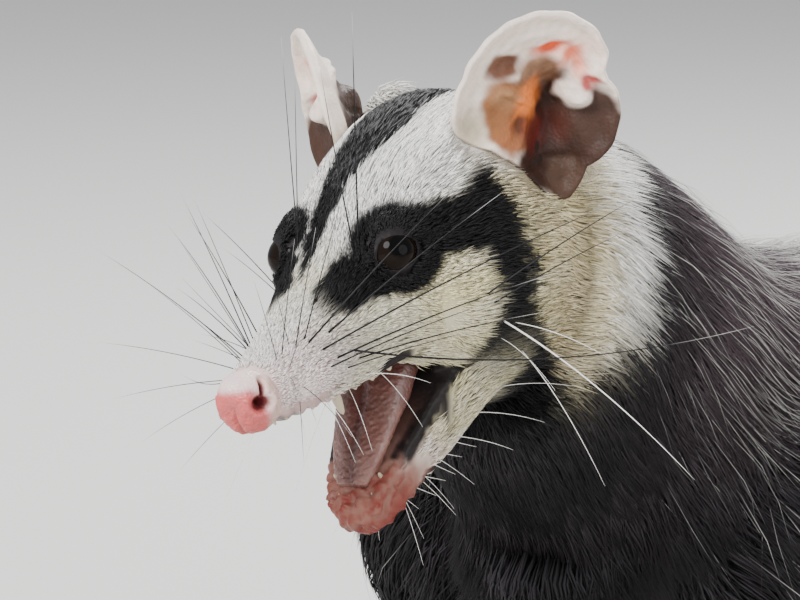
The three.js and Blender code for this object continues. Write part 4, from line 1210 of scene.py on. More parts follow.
@dataclass
class Foot:
    """One foot: a palm, five digits in a fan, and a claw on each but the hind thumb."""

    hand: float
    leg: tuple
    fore: bool
    fore_digits: tuple = ((-58, 13), (-28, 16), (-2, 17), (24, 16), (52, 13))
    hind_digits: tuple = ((-26, 17), (-9, 19), (8, 19), (25, 17))
    digit_radius: float = 2.5
    claw_length: float = 5.2

    def palm(self) -> Loft:
        """Give the palm, from the toes back to the heel."""
        x, y = self.leg[-1][:2]
        rows = (
            (x - 14, y, 4, 6, 3, 4.8), (x - 8, y, 5, 8.5, 4, 5.8), (x, y, 6.5, 7.5, 5, 7.3),
            (x + 7, y, 5.5, 4, 4, 6.3)
        )
        if not self.fore:
            rows = (
                (x - 37, y, 4, 7, 3, 4.8), (x - 30, y, 5, 9, 4, 5.8), (x - 16, y, 5.6, 7, 4.6, 6.4),
                (x + 2, y, 7, 6.5, 5.5, 7.8), (x + 8, y, 6, 4.5, 4.5, 6.8),
            )
        return Loft(rows, along=(1.0, 0.0, 0.0))

    def digits(self) -> list[tuple[np.ndarray, float, float, bool]]:
        """List the digits as root, heading, length and whether it has a claw."""
        x, y = self.leg[-1][:2]
        root = np.array([x - (6 if self.fore else 29), y, 5.0])
        table = self.fore_digits if self.fore else self.hind_digits
        rows = [(root, rad(self.hand * angle), float(length), True) for angle, length in table]
        if not self.fore:
            rows.append((np.array([x - 20, y, 5.0]), rad(-self.hand * 70), 17.0, False))
        return rows

    def reach(
        self, root: np.ndarray, heading: float, run: np.ndarray, height: np.ndarray
    ) -> np.ndarray:
        """Give points that run out from a digit's root along its heading at the given heights."""
        return np.stack(
            [root[0] - np.cos(heading) * run, root[1] + np.sin(heading) * run, height], 1
        )

    def shells(self) -> list[Shell]:
        """Make palm, ankle, digits with their knuckles, and the pads below."""
        made = [self.palm().surface(50, 48)]
        ankle = np.array([row[:3] for row in self.leg[-3:]], float)
        radii = [row[3] - 0.4 for row in self.leg[-3:]]
        at = np.linspace(0.35, 1, 18)
        made.append(closed_tube(smooth_line(ankle, at), np.interp(at, [0, 0.5, 1], radii), 24))
        for root, heading, length, _ in self.digits():
            at = np.linspace(0, 1, 24)
            run = length * at
            height = np.interp(at, [0, 0.45, 0.8, 1], [5, 5.4, 2.9, 2.4])
            radius = np.interp(
                at, [0, 0.3, 0.45, 0.62, 0.85, 1], [1.1, 0.92, 1.04, 0.88, 1.05, 0.7]
            )
            made.append(
                closed_tube(self.reach(root, heading, run, height), radius * self.digit_radius, 16)
            )
        return made

    def claws(self) -> list[Shell]:
        """Make the claws: horn cones that arch forward and come down to the floor."""
        made = []
        at = np.linspace(0, 1, 12)
        for root, heading, length, clawed in self.digits():
            if clawed:
                run = length * 0.9 + self.claw_length * (0.15 + 0.95 * at)
                height = 2.9 + 0.9 * np.sin(np.pi * at * 0.8) - 2.6 * at**1.6
                made.append(
                    closed_tube(
                        self.reach(root, heading, run, height), 1.15 * (1 - at) ** 0.7 + 0.08, 10
                    )
                )
        return made


class Kit:
    """Shader helpers shared by the finishes."""

    @staticmethod
    def node(
        tree: bpy.types.NodeTree, kind: str, values: dict | None = None, links: dict | None = None,
        **settings
    ) -> bpy.types.Node:
        """Add a node.

        Args:
            tree: the node tree.
            kind: the node's type, without its prefix.
            values: numbers and colours by input.
            links: outputs of other nodes by input.
            settings: the node's own properties.

        Returns:
            The node.
        """
        made = tree.nodes.new("ShaderNode" + kind)
        for name, value in settings.items():
            setattr(made, name, value)
        Kit.fill(made, values or {})
        for key, output in (links or {}).items():
            tree.links.new(output, made.inputs[key])
        return made

    @staticmethod
    def fill(node: bpy.types.Node, values: dict) -> None:
        """Set a node's inputs by name or place."""
        for key, value in values.items():
            node.inputs[key].default_value = value

    @staticmethod
    def begin(name: str) -> tuple:
        """Start a material; give it, its node tree and its shader."""
        made = bpy.data.materials.new(name)
        made.use_nodes = True
        return made, made.node_tree, made.node_tree.nodes["Principled BSDF"]

    @staticmethod
    def group(name: str, inputs: tuple, outputs: tuple) -> tuple:
        """Start a shader node group with named sockets.

        Args:
            name: the group's name.
            inputs: (name, socket type, default) of each input.
            outputs: (name, socket type) of each output.

        Returns:
            The group, its input node and its output node.
        """
        tree = bpy.data.node_groups.new(name, "ShaderNodeTree")
        for label, kind, value in inputs:
            socket = tree.interface.new_socket(label, in_out="INPUT", socket_type=kind)
            socket.default_value = value
        for label, kind in outputs:
            tree.interface.new_socket(label, in_out="OUTPUT", socket_type=kind)
        return tree, tree.nodes.new("NodeGroupInput"), tree.nodes.new("NodeGroupOutput")

    @staticmethod
    def grain() -> bpy.types.NodeTree:
        """Skin grain: coarse mottling of a colour, and a height from fine pores over soft folds."""
        found = bpy.data.node_groups.get("skin_grain")
        if found:
            return found
        colour, number = "NodeSocketColor", "NodeSocketFloat"
        tree, start, end = Kit.group(
            "skin_grain",
            (
                ("Colour", colour, (0.5, 0.5, 0.5, 1)), ("Deep", colour, (0.2, 0.1, 0.1, 1)),
                ("Mottle", number, 0.3), ("Scale", number, 900.0),
            ),
            (("Colour", colour), ("Height", number)),
        )
        given = start.outputs
        place = Kit.node(tree, "TexCoord").outputs["Object"]
        cloud = Kit.noise(tree, place, 220.0, 4.0)
        pores = Kit.node(tree, "TexVoronoi", links={"Vector": place, "Scale": given["Scale"]})
        share = Kit.node(tree, "Math", links={0: cloud, 1: given["Mottle"]}, operation="MULTIPLY")
        blend = Kit.node(tree, "Mix", data_type="RGBA", links={
            "Factor": share.outputs[0], "A": given["Colour"], "B": given["Deep"],
        })
        height = Kit.node(tree, "Math", {1: 0.7}, {0: pores.outputs["Distance"], 2: cloud},
                          operation="MULTIPLY_ADD")
        tree.links.new(blend.outputs["Result"], end.inputs["Colour"])
        tree.links.new(height.outputs[0], end.inputs["Height"])
        return tree

    @staticmethod
    def noise(
        tree: bpy.types.NodeTree, place: bpy.types.NodeSocket, scale: float, detail: float
    ) -> bpy.types.NodeSocket:
        """Add a noise texture on Object coordinates and give its output."""
        return Kit.node(
            tree, "TexNoise", {"Scale": scale, "Detail": detail}, {"Vector": place}
        ).outputs["Fac"]


@dataclass(frozen=True)
class SkinFinish:
    """Bare skin or a base under fur, coloured by an attribute or by one colour."""

    name: str
    deep: tuple
    colour: tuple | None = None
    roughness: float = 0.55
    wet_roughness: float = 0.22
    mottle: float = 0.5
    scale: float = 900.0
    bump: float = 0.35
    subsurface: float = 0.0
    coat: float = 0.0
    reads_wet: bool = False
    specular: float = 0.5
    index: float = 1.5

    def material(self) -> bpy.types.Material:
        """Build the material once and hand it out again later."""
        found = bpy.data.materials.get(self.name)
        if found:
            return found
        made, tree, shader = Kit.begin(self.name)
        grain = tree.nodes.new("ShaderNodeGroup")
        grain.node_tree = Kit.grain()
        Kit.fill(grain, {"Deep": (*self.deep, 1), "Mottle": self.mottle, "Scale": self.scale})
        if self.colour is None:
            tint = Kit.node(tree, "Attribute", attribute_name="tint")
            tree.links.new(tint.outputs["Color"], grain.inputs["Colour"])
        else:
            Kit.fill(grain, {"Colour": (*self.colour, 1)})
        tree.links.new(grain.outputs["Colour"], shader.inputs["Base Color"])
        bump = Kit.node(
            tree, "Bump", {"Strength": self.bump, "Distance": 0.0004},
            {"Height": grain.outputs["Height"]}
        )
        tree.links.new(bump.outputs["Normal"], shader.inputs["Normal"])
        Kit.fill(shader, {
            "Roughness": self.roughness, "Specular IOR Level": self.specular, "IOR": self.index,
            "Coat Weight": self.coat, "Coat Roughness": 0.15,
        })
        if self.reads_wet:
            wet = Kit.node(tree, "Attribute", attribute_name="wet")
            gloss = Kit.node(
                tree, "MapRange", {"To Min": self.roughness, "To Max": self.wet_roughness},
                {"Value": wet.outputs["Fac"]}
            )
            tree.links.new(gloss.outputs["Result"], shader.inputs["Roughness"])
        if self.subsurface:
            Kit.fill(shader, {
                "Subsurface Weight": self.subsurface, "Subsurface Radius": (1.0, 0.35, 0.2),
                "Subsurface Scale": 0.002,
            })
        return made


def skin_material() -> bpy.types.Material:
    """Give the finish of the whole skin, dry under fur and wet in the mouth."""
    return SkinFinish(
        "body_skin", deep=(0.03, 0.02, 0.02), mottle=0.25, roughness=0.7, wet_roughness=0.3,
        reads_wet=True, specular=0.15
    ).material()


@dataclass(frozen=True)
class HairFinish:
    """Hair: coloured by an attribute, soft, with fine streaks."""

    name: str
    roughness: float = 0.6

    def material(self) -> bpy.types.Material:
        """Build the material once and hand it out again later."""
        found = bpy.data.materials.get(self.name)
        if found:
            return found
        made, tree, shader = Kit.begin(self.name)
        tint = Kit.node(tree, "Attribute", attribute_name="tint").outputs["Color"]
        cloud = Kit.noise(tree, Kit.node(tree, "TexCoord").outputs["Object"], 1400.0, 2.0)
        shade = Kit.node(
            tree, "MapRange", {"From Min": 0.3, "From Max": 0.7, "To Min": 0.86, "To Max": 1.08},
            {"Value": cloud}
        )
        tone = Kit.node(
            tree, "VectorMath", links={0: tint, "Scale": shade.outputs["Result"]}, operation="SCALE"
        )
        tree.links.new(tone.outputs["Vector"], shader.inputs["Base Color"])
        Kit.fill(shader, {"Roughness": self.roughness, "Specular IOR Level": 0.2})
        return made


@dataclass
class Strands:
    """Tufts of hair, each a closed spindle: points at root and tip with flat rings between."""

    spine: np.ndarray
    normal: np.ndarray
    width: np.ndarray
    colour: np.ndarray
    patch: np.ndarray

    def take(self, chosen: np.ndarray) -> "Strands":
        """Keep only the chosen tufts."""
        rows = (self.spine, self.normal, self.width, self.colour, self.patch)
        return Strands(*(values[chosen] for values in rows))

    def build(
        self, name: str, workshop: Workshop, finish: HairFinish, slot: Finish
    ) -> bpy.types.Object:
        """Make one piece of all the tufts.

        A ring's three points stand half a width to each side and a third of a width above the
        spine. Every tuft's place on the bake map is a small patch at its root's place on the
        body's unwrap.

        Args:
            name: the piece's name.
            workshop: makes the mesh.
            finish: the hair's finish.
            slot: the material slot, handed on but not used.

        Returns:
            The piece.
        """
        count, stops = self.spine.shape[:2]
        rings = stops - 2
        along = unit(np.gradient(self.spine, axis=1))[:, 1:-1]
        across = unit(np.cross(along, self.normal[:, None]))
        out = np.cross(across, along)
        swell = np.array([[1.0], [0.85, 0.9], [0.8, 1.0, 0.7]][rings - 1], float)
        half = (self.width[:, None] * swell / 2)[..., None]
        middle = self.spine[:, 1:-1]
        ring = np.stack(
            [middle + across * half, middle + out * half * 0.7, middle - across * half], 2
        )
        points = np.concatenate(
            [self.spine[:, :1], ring.reshape(count, -1, 3), self.spine[:, -1:]], 1
        )
        last = 3 * rings + 1
        faces = [(0, 1 + k, 1 + (k + 1) % 3) for k in range(3)]
        for row in range(rings - 1):
            for k in range(3):
                a, b = 1 + 3 * row + k, 1 + 3 * row + (k + 1) % 3
                faces += [(a, a + 3, b + 3), (a, b + 3, b)]
        faces += [(last, 3 * rings - 2 + (k + 1) % 3, 3 * rings - 2 + k) for k in range(3)]
        pattern = np.array(faces)
        if self.volume(points[0], pattern) < 0:
            pattern = pattern[:, ::-1]
        triangles = (pattern[None] + (np.arange(count) * (last + 1))[:, None, None]).reshape(-1, 3)
        piece = workshop.mesh(name, Shell(points.reshape(-1, 3), triangles))
        stop_of = np.array([0] + [1 + k // 3 for k in range(3 * rings)] + [stops - 1])
        workshop.paint(piece, "tint", self.colour[:, stop_of].reshape(-1, 3))
        self.unwrap(piece, triangles, last, stop_of / (stops - 1))
        workshop.finish(piece, [finish.material()], slot)
        return piece

    @staticmethod
    def volume(points: np.ndarray, pattern: np.ndarray) -> float:
        """Give the signed volume of one tuft about its own root."""
        a, b, c = ((points - points[0])[pattern[:, k]] for k in range(3))
        return float((a * np.cross(b, c)).sum())

    def unwrap(
        self, piece: bpy.types.Object, triangles: np.ndarray, last: int, run: np.ndarray
    ) -> None:
        """Write the bake map: the root's place plus a patch over the tuft's width and length."""
        wide = np.array([0.5] + [0.0, 0.5, 1.0] * ((last - 1) // 3) + [0.5])
        spread = np.stack([wide, run], 1) * BAKE_PATCH
        flat = (self.patch[:, None] + spread[None]).reshape(-1, 2)
        layer = piece.data.uv_layers.new(name="OFBake")
        layer.data.foreach_set("uv", flat[triangles.ravel()].astype(np.float32).ravel())


@dataclass(frozen=True)
class Zone:
    """One kind of hair over part of the body.

    amount is how many tufts are tried, stops how many points a tuft's line has. The tables give
    length, rise and width by region.
    """

    name: str
    amount: int
    stops: int
    seed: int
    pieces: int
    slot: Finish
    jitter: float
    clump: float
    clump_size: float
    lengthen: float = 1.0
    lift: float = 1.0
    thicken: float = 1.0
    pale_tips: float = 0.0


@dataclass
class Coat:
    """The hair of the whole animal, grown from the skin."""

    anatomy: Anatomy
    markings: Markings
    workshop: Workshop
    skin: bpy.types.Object
    zones: tuple = (
        Zone("coat_face", 86000, 3, 101, 3, Finish.FACE, 0.12, 0.25, 1.9),
        Zone("coat_ruff", 44000, 3, 102, 2, Finish.PALE, 0.2, 0.4, 4.5, thicken=0.62),
        Zone("coat_underfur", 58000, 3, 103, 2, Finish.DARK, 0.2, 0.4, 7.0, thicken=0.6),
        Zone("coat_guard", 13000, 4, 104, 1, Finish.DARK, 0.14, 0.12, 12.0, 1.8, 1.35, 0.28, 1.0),
        Zone("coat_legs", 22000, 3, 105, 1, Finish.DARK, 0.16, 0.3, 4.0),
        Zone("coat_feet", 8000, 3, 106, 1, Finish.FOOT, 0.15, 0.2, 2.0),
    )

    def __post_init__(self) -> None:
        """Read the skin once: corners, areas, normals, and how much hair each region bears."""
        self.skin.data.calc_loop_triangles()
        flat = np.empty(len(self.skin.data.loop_triangles) * 3, np.int32)
        self.skin.data.loop_triangles.foreach_get("vertices", flat)
        self.corners = flat.reshape(-1, 3)
        self.points = self.workshop.points_of(self.skin)
        self.normals = self.workshop.normals_of(self.skin)
        a, b, c = (self.points[self.corners[:, k]] for k in range(3))
        self.area = np.linalg.norm(np.cross(b - a, c - a), axis=1) / 2
        self.survey = self.anatomy.survey(self.points)
        self.weight = self.survey.weights(3.0)
        self.bare = self.find_bare()

    def find_bare(self) -> np.ndarray:
        """Mark what grows no hair: mouth, lips, lids, nose, jaw tip, soles and ear roots."""
        wet = np.empty(len(self.points) * 4, np.float32)
        self.skin.data.attributes["wet"].data.foreach_get("color", wet)
        bare = wet.reshape(-1, 4)[:, 0] > 0.25
        bare |= self.anatomy.eye_gap(self.points) < 5.5
        _, s = head_places(self.points)
        bare |= (s < NOSE_PAD_END) & (self.points[:, 2] > HEAD_FLOOR)
        bare |= (self.points[:, 2] < 4.0) & (self.normals[:, 2] < 0.3)
        bare |= Ears().cup(self.points) > 0.3
        return bare

    def upper_body(self) -> np.ndarray:
        """Fade to nothing on the throat and the chest."""
        return np.maximum(
            smooth_step(40, 70, self.points[:, 0]), smooth_step(105, 135, self.points[:, 2])
        )

    def density(self, zone: Zone) -> np.ndarray:
        """Give how thickly a zone's hair stands at every vertex."""
        w, x, z = self.weight, self.points[:, 0], self.points[:, 2]
        head, neck, torso, tail = w[:, 0] + w[:, 1], w[:, 2], w[:, 3], w[:, 8]
        legs = w[:, 4:8].sum(1)
        _, s = head_places(self.points)
        lid = smooth_step(9.0, 6.5, self.anatomy.eye_gap(self.points))
        foot = smooth_step(*FOOT_LEVELS, z)
        face = head + neck * smooth_step(104, 96, s)
        under = torso + neck * smooth_step(26, 42, x) * 0.8 + legs * smooth_step(80, 110, z)
        back = torso * (0.5 + 0.7 * smooth_step(80, 130, z)) + neck * smooth_step(20, 45, x)
        limbs = legs * (1 + 0.8 * smooth_step(60, 20, z))
        choice = {
            "coat_face": face * (1.0 + 0.9 * smooth_step(60, 20, s) + 2.5 * lid),
            "coat_ruff": neck + head * smooth_step(76, 92, s) * 0.8,
            "coat_underfur": under + tail * smooth_step(340, 310, x),
            "coat_guard": (back + 0.4 * legs * smooth_step(50, 80, z)) * self.upper_body(),
            "coat_legs": (limbs + tail * smooth_step(376, 360, x)) * (1 - foot),
            "coat_feet": foot * (x < FEET_END),
        }[zone.name]
        return choice * ~self.bare

    def roots(self, zone: Zone, draw: np.random.Generator) -> tuple[np.ndarray, np.ndarray]:
        """Scatter roots by area and density; a root is a random mix of a triangle's corners.

        Args:
            zone: the kind of hair.
            draw: the random source.

        Returns:
            Places and normals.
        """
        thick = self.density(zone)[self.corners].mean(1) * self.area
        pile = np.cumsum(thick)
        picked = np.searchsorted(pile, draw.random(zone.amount) * pile[-1])
        picked = np.minimum(picked, len(self.corners) - 1)
        share = draw.dirichlet((1.0, 1.0, 1.0), zone.amount)
        corners = self.corners[picked]
        places = (self.points[corners] * share[..., None]).sum(1)
        return places, unit((self.normals[corners] * share[..., None]).sum(1))

    def flow(self, places: np.ndarray, normals: np.ndarray, survey: Survey) -> np.ndarray:
        """Give the lie of the coat: along each loft, and down its sides.

        Args:
            places: roots in millimetres.
            normals: the skin's normals there.
            survey: the roots on the lofts.

        Returns:
            One direction a root, along the skin.
        """
        weight = survey.weights(7.0)
        _, s = head_places(places)
        way = (survey.along * weight[..., None]).sum(1)
        sag = (
            weight[:, 3] * 0.75 + weight[:, 2] * 0.6 + weight[:, 0] * 0.35 * smooth_step(40, 70, s)
        )
        steep = np.sqrt(np.clip(1 - normals[:, 2] ** 2, 0, 1))
        way = way + np.array([0.0, 0.0, -1.0]) * (sag * steep)[:, None]
        foot = smooth_step(14, 9, places[:, 2]) * (places[:, 0] < FEET_END)
        way = mix(way, np.array([-1.0, 0.0, -0.15]), foot)
        for hand in HANDS.values():
            off = places - self.anatomy.eye_centre(hand)
            near = np.exp(-((np.linalg.norm(off, axis=1) / 11.0) ** 2))
            way = way + unit(off) * (1.1 * near)[:, None]
        return unit(way - (way * normals).sum(1, keepdims=True) * normals)

    def lengths(
        self, places: np.ndarray, survey: Survey
    ) -> tuple[np.ndarray, np.ndarray, np.ndarray]:
        """Give the hair's length, its tip's rise and its width at each root, in millimetres."""
        weight = survey.weights(4.0)
        _, s = head_places(places)
        t = -carry_back(jaw_matrix(), places)[:, 0]
        leg, tail = survey.share[:, 4:8], survey.share[:, 8]
        head = table_value(
            ((5, 1.3), (20, 2.2), (35, 4.0), (50, 5.4), (65, 7.0), (80, 9.5), (100, 14)), s
        )
        head = head * (0.3 + 0.7 * smooth_step(6, 17, self.anatomy.eye_gap(places)))
        face = (
            head,
            table_value(((5, 0.6), (20, 0.7), (50, 1.1), (70, 1.8), (100, 4)), s),
            table_value(((5, 0.20), (30, 0.25), (60, 0.32), (100, 0.42)), s),
        )
        chin = (
            table_value(((4, 8), (20, 4.5), (45, 2.4), (58, 1.5)), t),
            table_value(((4, 2.5), (30, 1.2), (58, 0.7)), t),
            np.full(len(t), 0.28),
        )
        ruff = (
            table_value(((0, 15), (40, 19)), places[:, 0]),
            np.full(len(t), 5.5),
            np.full(len(t), 0.62),
        )
        columns = tuple(np.stack(part, 1) for part in (face, chin, ruff))
        columns += (np.tile([23.0, 7.5, 0.95], (len(t), 1)),)
        table = ((0, 20), (0.3, 14), (0.5, 9), (0.75, 4.5), (1, 3))
        legs = weight[:, 4:8]
        limb = (table_value(table, leg) * legs).sum(1) / np.maximum(legs.sum(1), 1e-6)
        rump = table_value(((0, 20), (0.1, 16), (0.2, 9), (0.3, 3)), tail)
        columns += tuple(
            np.stack([part, part * 0.26 + 0.4, 0.3 + 0.028 * part], 1) for part in (limb, rump)
        )
        parts = [weight[:, k] for k in range(4)] + [legs.sum(1), weight[:, 8]]
        share = np.stack(parts, 1)
        made = sum(column * share[:, k : k + 1] for k, column in enumerate(columns))
        foot = smooth_step(*FOOT_LEVELS, places[:, 2])[:, None] * (places[:, :1] < FEET_END)
        made = made * (1 - foot) + np.array([2.2, 0.7, 0.36]) * foot
        return made[:, 0], made[:, 1], made[:, 2]

    def clumped(self, roots: np.ndarray, tips: np.ndarray, zone: Zone) -> np.ndarray:
        """Draw tips together in small groups: roots that share a wavy cell share a middle tip."""
        warp = np.stack([ripple(roots, zone.clump_size * 3, zone.seed + k) for k in range(3)], 1)
        cell = np.floor((roots / zone.clump_size + warp * 1.2)).astype(np.int64)
        key = cell @ np.array([1, 4099, 16785407])
        _, group = np.unique(key, return_inverse=True)
        total = np.stack([np.bincount(group, (tips - roots)[:, k]) for k in range(3)], 1)
        middle_root = np.stack([np.bincount(group, roots[:, k]) for k in range(3)], 1)
        size = np.bincount(group)[:, None]
        shared = (middle_root / size + total / size)[group]
        return tips + (shared - tips) * zone.clump

    def grow(self, zone: Zone) -> Strands:
        """Grow one zone: each tuft leaves the skin, bends over and lies along the coat.

        The middle stands at six tenths of the tip's rise. Middle and tip are set to their heights
        over the lofts, so that the hair follows the body round.

        Args:
            zone: the kind of hair.

        Returns:
            Its tufts.
        """
        draw = np.random.default_rng(zone.seed)
        amount = zone.amount
        roots, normals = self.roots(Zone(**{**zone.__dict__, "amount": amount}), draw)
        survey = self.anatomy.survey(roots)
        length, rise, width = self.lengths(roots, survey)
        length = length * zone.lengthen * draw.uniform(0.75, 1.25, amount)
        rise = rise * zone.lift * draw.uniform(0.6, 1.35, amount)
        width = width * zone.thicken * draw.uniform(0.75, 1.25, amount)
        way = self.flow(roots, normals, survey)
        turn = draw.normal(0, zone.jitter, amount) + 0.22 * ripple(roots, 16.0, 90)
        way = way * np.cos(turn)[:, None] + np.cross(normals, way) * np.sin(turn)[:, None]
        base = survey.distance.min(1)
        on_foot = roots[:, 2] < 16
        stops = [roots - normals * 0.5]
        marks = np.linspace(0, 1, zone.stops)[1:]
        tips = roots + way * (length * 0.95)[:, None] + normals * rise[:, None]
        tips = self.clumped(roots, tips, zone)
        for mark in marks:
            bow = 2 * mark * (1 - mark)
            place = roots + (tips - roots) * mark + normals * (rise * bow * 0.7)[:, None]
            height = base * (1 - 0.4 * mark) + rise * (mark**0.8 * 0.8 + bow * 0.4)
            lying = self.anatomy.settle(place, height)
            lying = np.where(on_foot[:, None], place, lying)
            lying[:, 2] = np.maximum(lying[:, 2], 0.4)
            stops.append(lying)
        spine = np.stack(stops, 1)
        made = self.dress(zone, draw, roots, survey, spine, normals, width)
        if zone.slot in (Finish.DARK, Finish.FOOT):
            return made
        ears = Ears()
        in_cup = np.maximum.reduce([ears.cup(spine[:, k]) for k in range(1, zone.stops)])
        return made.take(in_cup < 0.3)

    def dress(
        self, zone: Zone, draw: np.random.Generator, roots: np.ndarray, survey: Survey,
        spine: np.ndarray, normals: np.ndarray, width: np.ndarray
    ) -> Strands:
        """Colour the tufts from root to tip and give each its place on the bake map.

        Args:
            zone: the kind of hair.
            draw: the random source.
            roots: the tufts' roots.
            survey: the roots on the lofts.
            spine: the tufts' lines.
            normals: the skin's normals at the roots.
            width: the tufts' widths.

        Returns:
            The finished tufts.
        """
        tint = self.markings.paint(roots, survey)
        tint = tint * draw.uniform(0.88, 1.1, len(tint))[:, None]
        bright = tint.max(1, keepdims=True)
        run = np.linspace(0, 1, spine.shape[1])[None, :, None]
        # Darker at the root and lighter to the tip: painted shade deep in the coat and painted
        # light on the tips.
        colour = tint[:, None] * (0.8 + 0.25 * run)
        colour += (bright * 0.1)[:, None] * run * np.array([1.0, 1.0, 1.0])
        if zone.pale_tips:
            body = smooth_step(0.30, 0.12, bright[:, 0])
            # White guard-hair tips, whiter still where the skin faces up: painted light on the top
            # of the back.
            high = smooth_step(-0.2, 0.9, normals[:, 2])
            pale = np.array(WHITE) * (draw.uniform(0.10, 0.40, len(tint)) + 0.36 * high)[:, None]
            fade = smooth_step(0.2, 0.6, run) * body[:, None, None]
            colour = colour + (pale[:, None] - colour) * fade
        loft = survey.distance.argmin(1)
        rows = np.arange(len(loft))
        share, angle = survey.share[rows, loft], survey.angle[rows, loft] / (2 * np.pi) + 0.5
        column, line = loft % 3, loft // 3
        patch = np.stack([(column + 0.02 + 0.95 * share) / 3, (line + 0.02 + 0.95 * angle) / 3], 1)
        return Strands(
            spine, normals, width, np.clip(colour, 0, 1), np.clip(patch, 0, 1 - BAKE_PATCH)
        )

    def build(self) -> list[bpy.types.Object]:
        """Grow every zone and make its pieces, each under the limit on triangles."""
        made = []
        for zone in self.zones:
            strands = self.grow(zone)
            for part in range(zone.pieces):
                name = f"{zone.name}_{part + 1}" if zone.pieces > 1 else zone.name
                chosen = np.arange(part, len(strands.width), zone.pieces)
                finish = HairFinish(f"hair_{zone.slot.value}")
                made.append(strands.take(chosen).build(name, self.workshop, finish, zone.slot))
        return made


@dataclass
class Eyes:
    """Both eyes: dark glossy balls with a raised front."""

    anatomy: Anatomy
    workshop: Workshop
    cornea_rise: float = 0.35
    cornea_reach: float = 0.75

    def build(self) -> None:
        """Make an eye on each side: a sphere whose radius swells in a bell round the gaze."""
        for side, hand in HANDS.items():
            gaze = self.anatomy.gaze(hand)
            across = unit(np.cross(gaze, [0.0, 0.0, 1.0]))
            up = np.cross(across, gaze)
            tilt = np.linspace(0.02, np.pi - 0.02, 60)
            turn = np.arange(72) * 2 * np.pi / 72
            bulge = np.exp(-((tilt / self.cornea_reach) ** 4))
            radius = EYE_RADIUS - 0.1 + self.cornea_rise * bulge
            rings = (
                (radius * np.cos(tilt))[:, None, None] * gaze
                + (radius * np.sin(tilt))[:, None, None] * np.cos(turn)[None, :, None] * across
                + (radius * np.sin(tilt))[:, None, None] * np.sin(turn)[None, :, None] * up
            )
            shell = Shell.from_rings(rings + self.anatomy.eye_centre(hand))
            piece = self.workshop.mesh(f"eyeball_{side}", shell)
            off = unit(shell.points - self.anatomy.eye_centre(hand))
            facing = off @ gaze
            brown = mix(np.array(EYE_BLACK), np.array(EYE_BROWN), smooth_step(0.93, 0.86, facing))
            edge = smooth_step(0.62, 0.45, facing)
            self.workshop.paint(piece, "tint", mix(brown, np.array(EYE_EDGE), edge))
            finish = SkinFinish("eye_gloss", deep=EYE_BLACK, roughness=0.04, mottle=0.3, bump=0.0,
                                index=1.33, specular=0.16)
            self.workshop.finish(piece, [finish.material()], Finish.EYE, f"eye_{side}")


